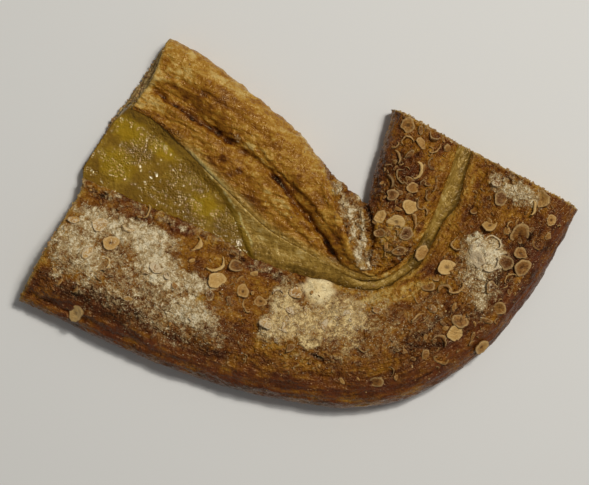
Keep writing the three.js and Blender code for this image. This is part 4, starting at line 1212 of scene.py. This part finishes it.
class Nodes:
    """Short ways to add and join the nodes of one material."""

    def __init__(self, name):
        self.material = bpy.data.materials.new(name)
        self.material.use_nodes = True
        self.tree = self.material.node_tree
        self.tree.nodes.clear()
        self.shader = self.add("ShaderNodeBsdfPrincipled")
        out = self.add("ShaderNodeOutputMaterial")
        self.join(self.shader.outputs["BSDF"], out.inputs["Surface"])
        self.place = self.add("ShaderNodeTexCoord").outputs["Object"]

    def add(self, kind, **settings):
        node = self.tree.nodes.new(kind)
        for key, value in settings.items():
            setattr(node, key, value)
        return node

    def join(self, a, b):
        self.tree.links.new(a, b)

    def put(self, socket, value):
        """Set a socket to a number or colour, or join it to another socket."""
        if isinstance(value, tuple):
            socket.default_value = (*value, 1)
        elif isinstance(value, (int, float)):
            socket.default_value = value
        else:
            self.join(value, socket)

    def look(self, **values):
        """Set or join sockets of the shader, with _ for each space in their names."""
        for name, value in values.items():
            self.put(self.shader.inputs[name.replace("_", " ")], value)

    def mark(self, name):
        return self.add("ShaderNodeAttribute", attribute_name=name).outputs["Fac"]

    def noise(self, size, detail=3.0, rough=0.55, at=None, warp=0.0):
        """Noise from 0 to 1 with features of a size in mm."""
        node = self.add("ShaderNodeTexNoise")
        scale = (1.0 if at else 1 / MM) / size
        values = dict(
            Vector=at or self.place, Scale=scale, Detail=detail, Roughness=rough, Distortion=warp
        )
        for name, value in values.items():
            self.put(node.inputs[name], value)
        return node.outputs["Fac"]

    def ridges(self, size, detail=2.0, warp=0.6):
        """Worm-like crests of 1 on a ground of 0."""
        n = self.noise(size, detail, 0.5, warp=warp)
        off = self.times(self.math("ABSOLUTE", self.less(n, 0.5)), 7.0)
        return self.math("SUBTRACT", 1.0, off, clamp=True)

    def along_bar(self, stretch):
        """Coordinates in mm along and across the bar, shortened along it."""
        node = self.add("ShaderNodeCombineXYZ")
        self.join(self.math("DIVIDE", self.mark("along"), stretch), node.inputs[0])
        self.join(self.mark("across"), node.inputs[1])
        return node.outputs[0]

    def math(self, operation, a, b=0.0, clamp=False):
        node = self.add("ShaderNodeMath", operation=operation, use_clamp=clamp)
        self.put(node.inputs[0], a)
        self.put(node.inputs[1], b)
        return node.outputs[0]

    def times(self, a, b):
        return self.math("MULTIPLY", a, b)

    def less(self, a, b):
        return self.math("SUBTRACT", a, b)

    def sum(self, base, *terms):
        """Base plus each (value, middle, weight): weight times the value's distance from middle."""
        for value, middle, weight in terms:
            off = self.less(value, middle)
            base = self.math("ADD", base, self.times(off, weight))
        return base

    def ramp(self, value, *stops):
        node = self.add("ShaderNodeValToRGB")
        elements = node.color_ramp.elements
        for element, (position, colour) in zip(elements, (stops[0], stops[-1])):
            element.position, element.color = position, (*colour, 1)
        for position, colour in stops[1:-1]:
            elements.new(position).color = (*colour, 1)
        self.join(value, node.inputs["Fac"])
        return node.outputs["Color"]

    def step(self, value, low, high):
        """0 below low, 1 above high."""
        node = self.add("ShaderNodeMapRange", interpolation_type="SMOOTHSTEP")
        node.inputs["From Min"].default_value = low
        node.inputs["From Max"].default_value = high
        self.join(value, node.inputs["Value"])
        return node.outputs["Result"]

    def blend(self, share, a, b, how="MIX"):
        node = self.add("ShaderNodeMix", data_type="RGBA", blend_type=how)
        for socket, value in ((node.inputs[0], share), (node.inputs[6], a), (node.inputs[7], b)):
            self.put(socket, value)
        return node.outputs[2]

    def bump(self, height, distance):
        node = self.add("ShaderNodeBump")
        node.inputs["Distance"].default_value = distance * MM
        self.join(height, node.inputs["Height"])
        self.join(node.outputs["Normal"], self.shader.inputs["Normal"])


OILY = (1.0, 0.76, 0.40)  # tint of the gloss on butter and glaze


def pale_colour(m, coarse, medium, fine, fibres, bands):
    """The strip between the flaps, with painted shade on it, and the custard's skin on the dough
    beside it.
    """
    tone = m.sum(
        0.49, (medium, 0.5, 0.9), (fibres, 0.5, 0.7), (bands, 0.5, 0.5), (fine, 0.5, 0.4),
        # the painted shade darkens the strip
        (m.mark("painted_shade"), 0.4, -0.3),
    )
    pale = m.ramp(
        tone,
        (0.12, (0.10, 0.052, 0.007)),
        (0.42, (0.245, 0.135, 0.020)),
        (0.65, (0.38, 0.225, 0.042)),
        (0.95, (0.6, 0.44, 0.16)),
    )
    gel = m.ramp(
        m.sum(0.5, (coarse, 0.5, 0.9), (medium, 0.5, 0.6)),
        (0.25, (0.19, 0.105, 0.010)),
        (0.5, (0.26, 0.150, 0.014)),
        (0.75, (0.34, 0.215, 0.03)),
    )
    return m.blend(m.mark("gel"), pale, gel)


def add_sugar(m, colour, medium, fine):
    """The colour with a film and a crust of sugar, the grains of the film, and where crust is."""
    grain, speck, clump = m.noise(0.9, 2), m.noise(0.5, 1), m.noise(3.4, 3, warp=0.6)
    film = m.step(m.sum(m.mark("sugar"), (clump, 0.5, 1.3), (fine, 0.5, 0.8)), 0.24, 0.8)
    thick = m.sum(0.45, (m.step(m.mark("sugar"), 0.4, 0.75), 0.0, 0.4))
    colour = m.blend(m.times(film, thick), colour, (0.45, 0.305, 0.13))
    sugar = m.sum(
        m.mark("sugar"), (grain, 0.5, 1.0), (clump, 0.5, 1.5), (fine, 0.5, 0.9), (speck, 0.5, 0.8)
    )
    cover = m.step(sugar, 0.48, 1.0)
    white = m.ramp(
        sugar, (0.45, (0.46, 0.31, 0.135)), (0.8, (0.64, 0.48, 0.25)), (1.3, (0.92, 0.80, 0.54))
    )
    white = m.blend(m.mark("warm"), white, m.blend(1.0, white, (1.0, 0.88, 0.62), "MULTIPLY"))
    colour = m.blend(m.times(cover, 0.85), colour, white)
    cream = m.ramp(
        m.sum(0.5, (medium, 0.5, 0.9), (grain, 0.5, 0.4)),
        (0.3, (0.74, 0.53, 0.23)), (0.6, (0.94, 0.76, 0.42)),
    )
    return m.blend(m.mark("cream"), colour, cream), m.times(film, grain), cover


def dough_material():
    m = Nodes("baked_dough")
    coarse, medium, fine = m.noise(11, 3), m.noise(4.5, 3, warp=0.8), m.noise(1.7, 2, warp=0.8)
    worms, small_worms = m.ridges(7.5, 2, 1.2), m.ridges(3.6, 1.5, 0.8)
    fibres = m.noise(1.5, 2, at=m.along_bar(5.0), warp=0.9)
    bands = m.noise(4.5, 2, at=m.along_bar(4.0), warp=1.2)
    crisp = m.sum(1.0, (m.mark("soft"), 0.0, -0.6))
    pits = m.times(m.step(m.noise(1.5, 1, warp=1.0), 0.6, 0.7), crisp)
    # Painted light and shade: the crests of the fine noise and of the worms are painted lighter and
    # their hollows darker, in step with the bump below.
    bake = m.sum(
        m.mark("bake"), (coarse, 0.5, 0.6), (pits, 0.1, 0.22),
        (m.times(m.less(medium, 0.5), crisp), 0.0, 0.6),
        (m.times(m.less(fine, 0.5), crisp), 0.0, -0.5),
        (fibres, 0.5, 0.4), (bands, 0.5, 0.55), (worms, 0.35, -0.07), (small_worms, 0.35, -0.1),
    )
    crust = m.ramp(
        bake,
        (0.0, (0.60, 0.40, 0.12)),
        (0.20, (0.43, 0.215, 0.026)),
        (0.38, (0.31, 0.125, 0.009)),
        (0.56, (0.215, 0.075, 0.006)),
        (0.74, (0.120, 0.034, 0.004)),
        (0.9, (0.055, 0.0125, 0.002)),
        (1.0, (0.02, 0.005, 0.001)),
    )
    ruddy = m.blend(0.6, crust, (0.15, 0.033, 0.010))
    crust = m.blend(m.times(m.mark("red"), m.step(coarse, 0.35, 0.65)), crust, ruddy)
    pale = pale_colour(m, coarse, medium, fine, fibres, bands)
    colour = m.blend(m.math("MINIMUM", m.mark("strip"), 1.0), crust, pale)
    # The cut faces, with painted shade in the gaps between the layers.
    layers_and_gap_shade = m.ramp(
        m.mark("layers_and_gap_shade"),
        (0.0, (0.62, 0.45, 0.2)),
        (0.5, (0.4, 0.25, 0.08)),
        (1.0, (0.16, 0.07, 0.02)),
    )
    cut = m.step(m.mark("layers_and_gap_shade"), 0.01, 0.05)
    colour = m.blend(cut, colour, layers_and_gap_shade)
    # the painted highlight along the crest
    colour = m.blend(m.mark("crest_highlight"), colour, (0.60, 0.50, 0.19))
    colour, grains, cover = add_sugar(m, colour, medium, fine)
    rough = m.sum(
        0.28, (fine, 0.5, 0.4), (cover, 0.0, 0.25), (cut, 0.0, 0.6), (m.mark("gel"), 0.0, -0.16)
    )
    m.look(Base_Color=colour, Roughness=rough, Specular_IOR_Level=0.45, Specular_Tint=OILY)
    height = m.sum(
        0.0, (medium, 0.5, 0.9), (fine, 0.5, 0.75), (worms, 0.0, 0.25), (small_worms, 0.0, 0.3),
        (fibres, 0.5, 0.6), (bands, 0.5, 0.7), (grains, 0.0, 0.4),
    )
    m.bump(m.times(height, crisp), 1.2)
    return m.material


def custard_material():
    m = Nodes("custard_gel")
    coarse, medium, fine = m.noise(9, 3), m.noise(1.8, 1), m.noise(0.9, 1)
    colour = m.ramp(
        m.sum(0.5, (coarse, 0.5, 0.9), (medium, 0.5, 0.5)),
        (0.25, (0.175, 0.088, 0.008)),
        (0.5, (0.235, 0.125, 0.010)),
        (0.75, (0.34, 0.20, 0.022)),
    )
    colour = m.blend(m.times(m.mark("rich"), 0.65), colour, (0.42, 0.25, 0.004))
    m.look(Base_Color=colour, Roughness=0.05, Specular_Tint=(1.0, 0.92, 0.68))
    m.look(Subsurface_Weight=0.1, Subsurface_Scale=1.0)
    m.shader.inputs["Subsurface Radius"].default_value = (0.003, 0.002, 0.0005)
    rippled = m.step(m.noise(14, 2), 0.42, 0.62)
    bumps = m.sum(0.0, (medium, 0.5, 1.0), (fine, 0.5, 0.4))
    calm = m.sum(0.25, (rippled, 0.0, 0.75))
    m.bump(m.times(bumps, calm), 1.0)
    return m.material


def nut_material():
    m = Nodes("hazelnut")
    medium, fine = m.noise(2.2, 2), m.noise(0.9, 2)
    flesh = m.ramp(
        m.sum(m.mark("toast"), (medium, 0.5, 0.7), (fine, 0.5, 0.4)),
        (0.0, (0.64, 0.41, 0.15)),
        (0.35, (0.50, 0.28, 0.08)),
        (0.7, (0.31, 0.135, 0.028)),
        (1.0, (0.12, 0.04, 0.009)),
    )
    pale = m.times(m.step(m.mark("ring"), 0.62, 0.9), 0.4)
    flesh = m.blend(pale, flesh, (0.68, 0.47, 0.2))
    # painted shade darkens the hollow heart
    flesh = m.blend(m.times(m.mark("heart_shade"), 0.85), flesh, (0.08, 0.025, 0.007))
    skin = m.blend(m.times(m.mark("rim"), 0.55), flesh, (0.12, 0.042, 0.011))
    dusting = m.sum(m.mark("sugar"), (m.noise(0.9, 2), 0.5, 1.6), (m.noise(3, 2), 0.5, 1.0))
    colour = m.blend(m.times(m.step(dusting, 0.55, 0.85), 0.8), skin, (0.74, 0.60, 0.38))
    m.look(Base_Color=colour, Roughness=0.34, Specular_IOR_Level=0.45, Specular_Tint=OILY)
    m.bump(m.sum(0.0, (fine, 0.5, 1.0), (medium, 0.5, 0.8)), 0.6)
    return m.material


def sugar_material():
    m = Nodes("sugar")
    colour = m.ramp(m.noise(3, 2), (0.35, (0.50, 0.36, 0.17)), (0.65, (0.80, 0.67, 0.42)))
    m.look(Base_Color=colour, Roughness=0.25)
    return m.material


def crumb_material():
    m = Nodes("flaky_crumbs")
    dark, middle, pale = (0.12, 0.045, 0.012), (0.36, 0.19, 0.05), (0.6, 0.42, 0.17)
    colour = m.ramp(m.noise(2.5, 2), (0.3, dark), (0.5, middle), (0.7, pale))
    m.look(Base_Color=colour, Roughness=0.6)
    m.bump(m.noise(0.5, 2), 0.2)
    return m.material


def floor_material():
    m = Nodes("pale_floor")
    m.look(Base_Color=(0.80, 0.785, 0.745), Roughness=0.9, Specular_IOR_Level=0.1)
    return m.material


# ---------------------------------------------------------------- stage

VIEW_CENTRE = (-1.8, -9.6)
VIEW_WIDTH = 306.3
CAMERA_HEIGHT = 1000.0
SCALE_HEIGHT = 7.0
SENSOR = 36.0
FLOOR_HALF = 3.0  # in m
FLOOR_DROP = -0.0002  # in m, so that the floor and the underside aren't in one plane
# Lights, as [name, place in m, size in m, power in W, colour].
LIGHTS = [
    ("window", (0.66, 0.52, 1.56), 0.5, 13.6, (1.0, 0.985, 0.955)),
    ("lamp", (0.60, 0.60, 1.56), 0.13, 7.8, (1.0, 0.98, 0.94)),
]
ROOM = dict(colour=(0.98, 0.99, 1.0), strength=0.155)


def build_stage():
    mesh = bpy.data.meshes.new("floor")
    corners = [(x * FLOOR_HALF, y * FLOOR_HALF, 0) for x, y in ((-1, -1), (1, -1), (1, 1), (-1, 1))]
    mesh.from_pydata(corners, [], [(0, 1, 2, 3)])
    mesh.materials.append(floor_material())
    floor = link_object("floor", mesh)
    floor.location.z = FLOOR_DROP

    camera_data = bpy.data.cameras.new("camera")
    camera_data.sensor_width = SENSOR
    camera_data.lens = SENSOR * (CAMERA_HEIGHT - SCALE_HEIGHT) / VIEW_WIDTH
    camera_data.clip_end = 20
    camera = link_object("camera", camera_data)
    camera.location = (VIEW_CENTRE[0] * MM, VIEW_CENTRE[1] * MM, CAMERA_HEIGHT * MM)
    bpy.context.scene.camera = camera

    for name, at, size, power, colour in LIGHTS:
        data = bpy.data.lights.new(name, "AREA")
        data.shape = "DISK"
        data.size = size
        data.energy = power
        data.color = colour
        light = link_object(name, data)
        light.location = at
        light.rotation_euler = (-Vector(at)).to_track_quat("-Z", "Y").to_euler()

    world = bpy.data.worlds.new("room")
    world.use_nodes = True
    background = world.node_tree.nodes["Background"]
    background.inputs["Color"].default_value = (*ROOM["colour"], 1)
    background.inputs["Strength"].default_value = ROOM["strength"]
    bpy.context.scene.world = world
    bpy.context.scene.view_settings.view_transform = "Standard"


# ---------------------------------------------------------------- the scene

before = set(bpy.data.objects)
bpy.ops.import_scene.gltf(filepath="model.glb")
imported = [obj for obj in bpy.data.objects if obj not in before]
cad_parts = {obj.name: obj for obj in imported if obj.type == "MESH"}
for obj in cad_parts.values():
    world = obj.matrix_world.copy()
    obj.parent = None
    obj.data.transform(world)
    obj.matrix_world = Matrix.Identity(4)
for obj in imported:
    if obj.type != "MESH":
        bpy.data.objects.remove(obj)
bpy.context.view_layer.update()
build_stage()

dough = build_dough(dough_material())
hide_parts("pastry")
custard = build_custard(custard_material())
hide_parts("custard")

on_dough = Surface(dough)
pieces = [dough, custard]
for nut in build_nuts(on_dough, nut_material()):
    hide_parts("pastry")
    pieces.append(nut)
for piece in (build_sugar(on_dough, sugar_material()), build_crumbs(on_dough, crumb_material())):
    pieces.append(piece)
for piece in pieces:
    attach(piece, "root")

bpy.context.view_layer.update()
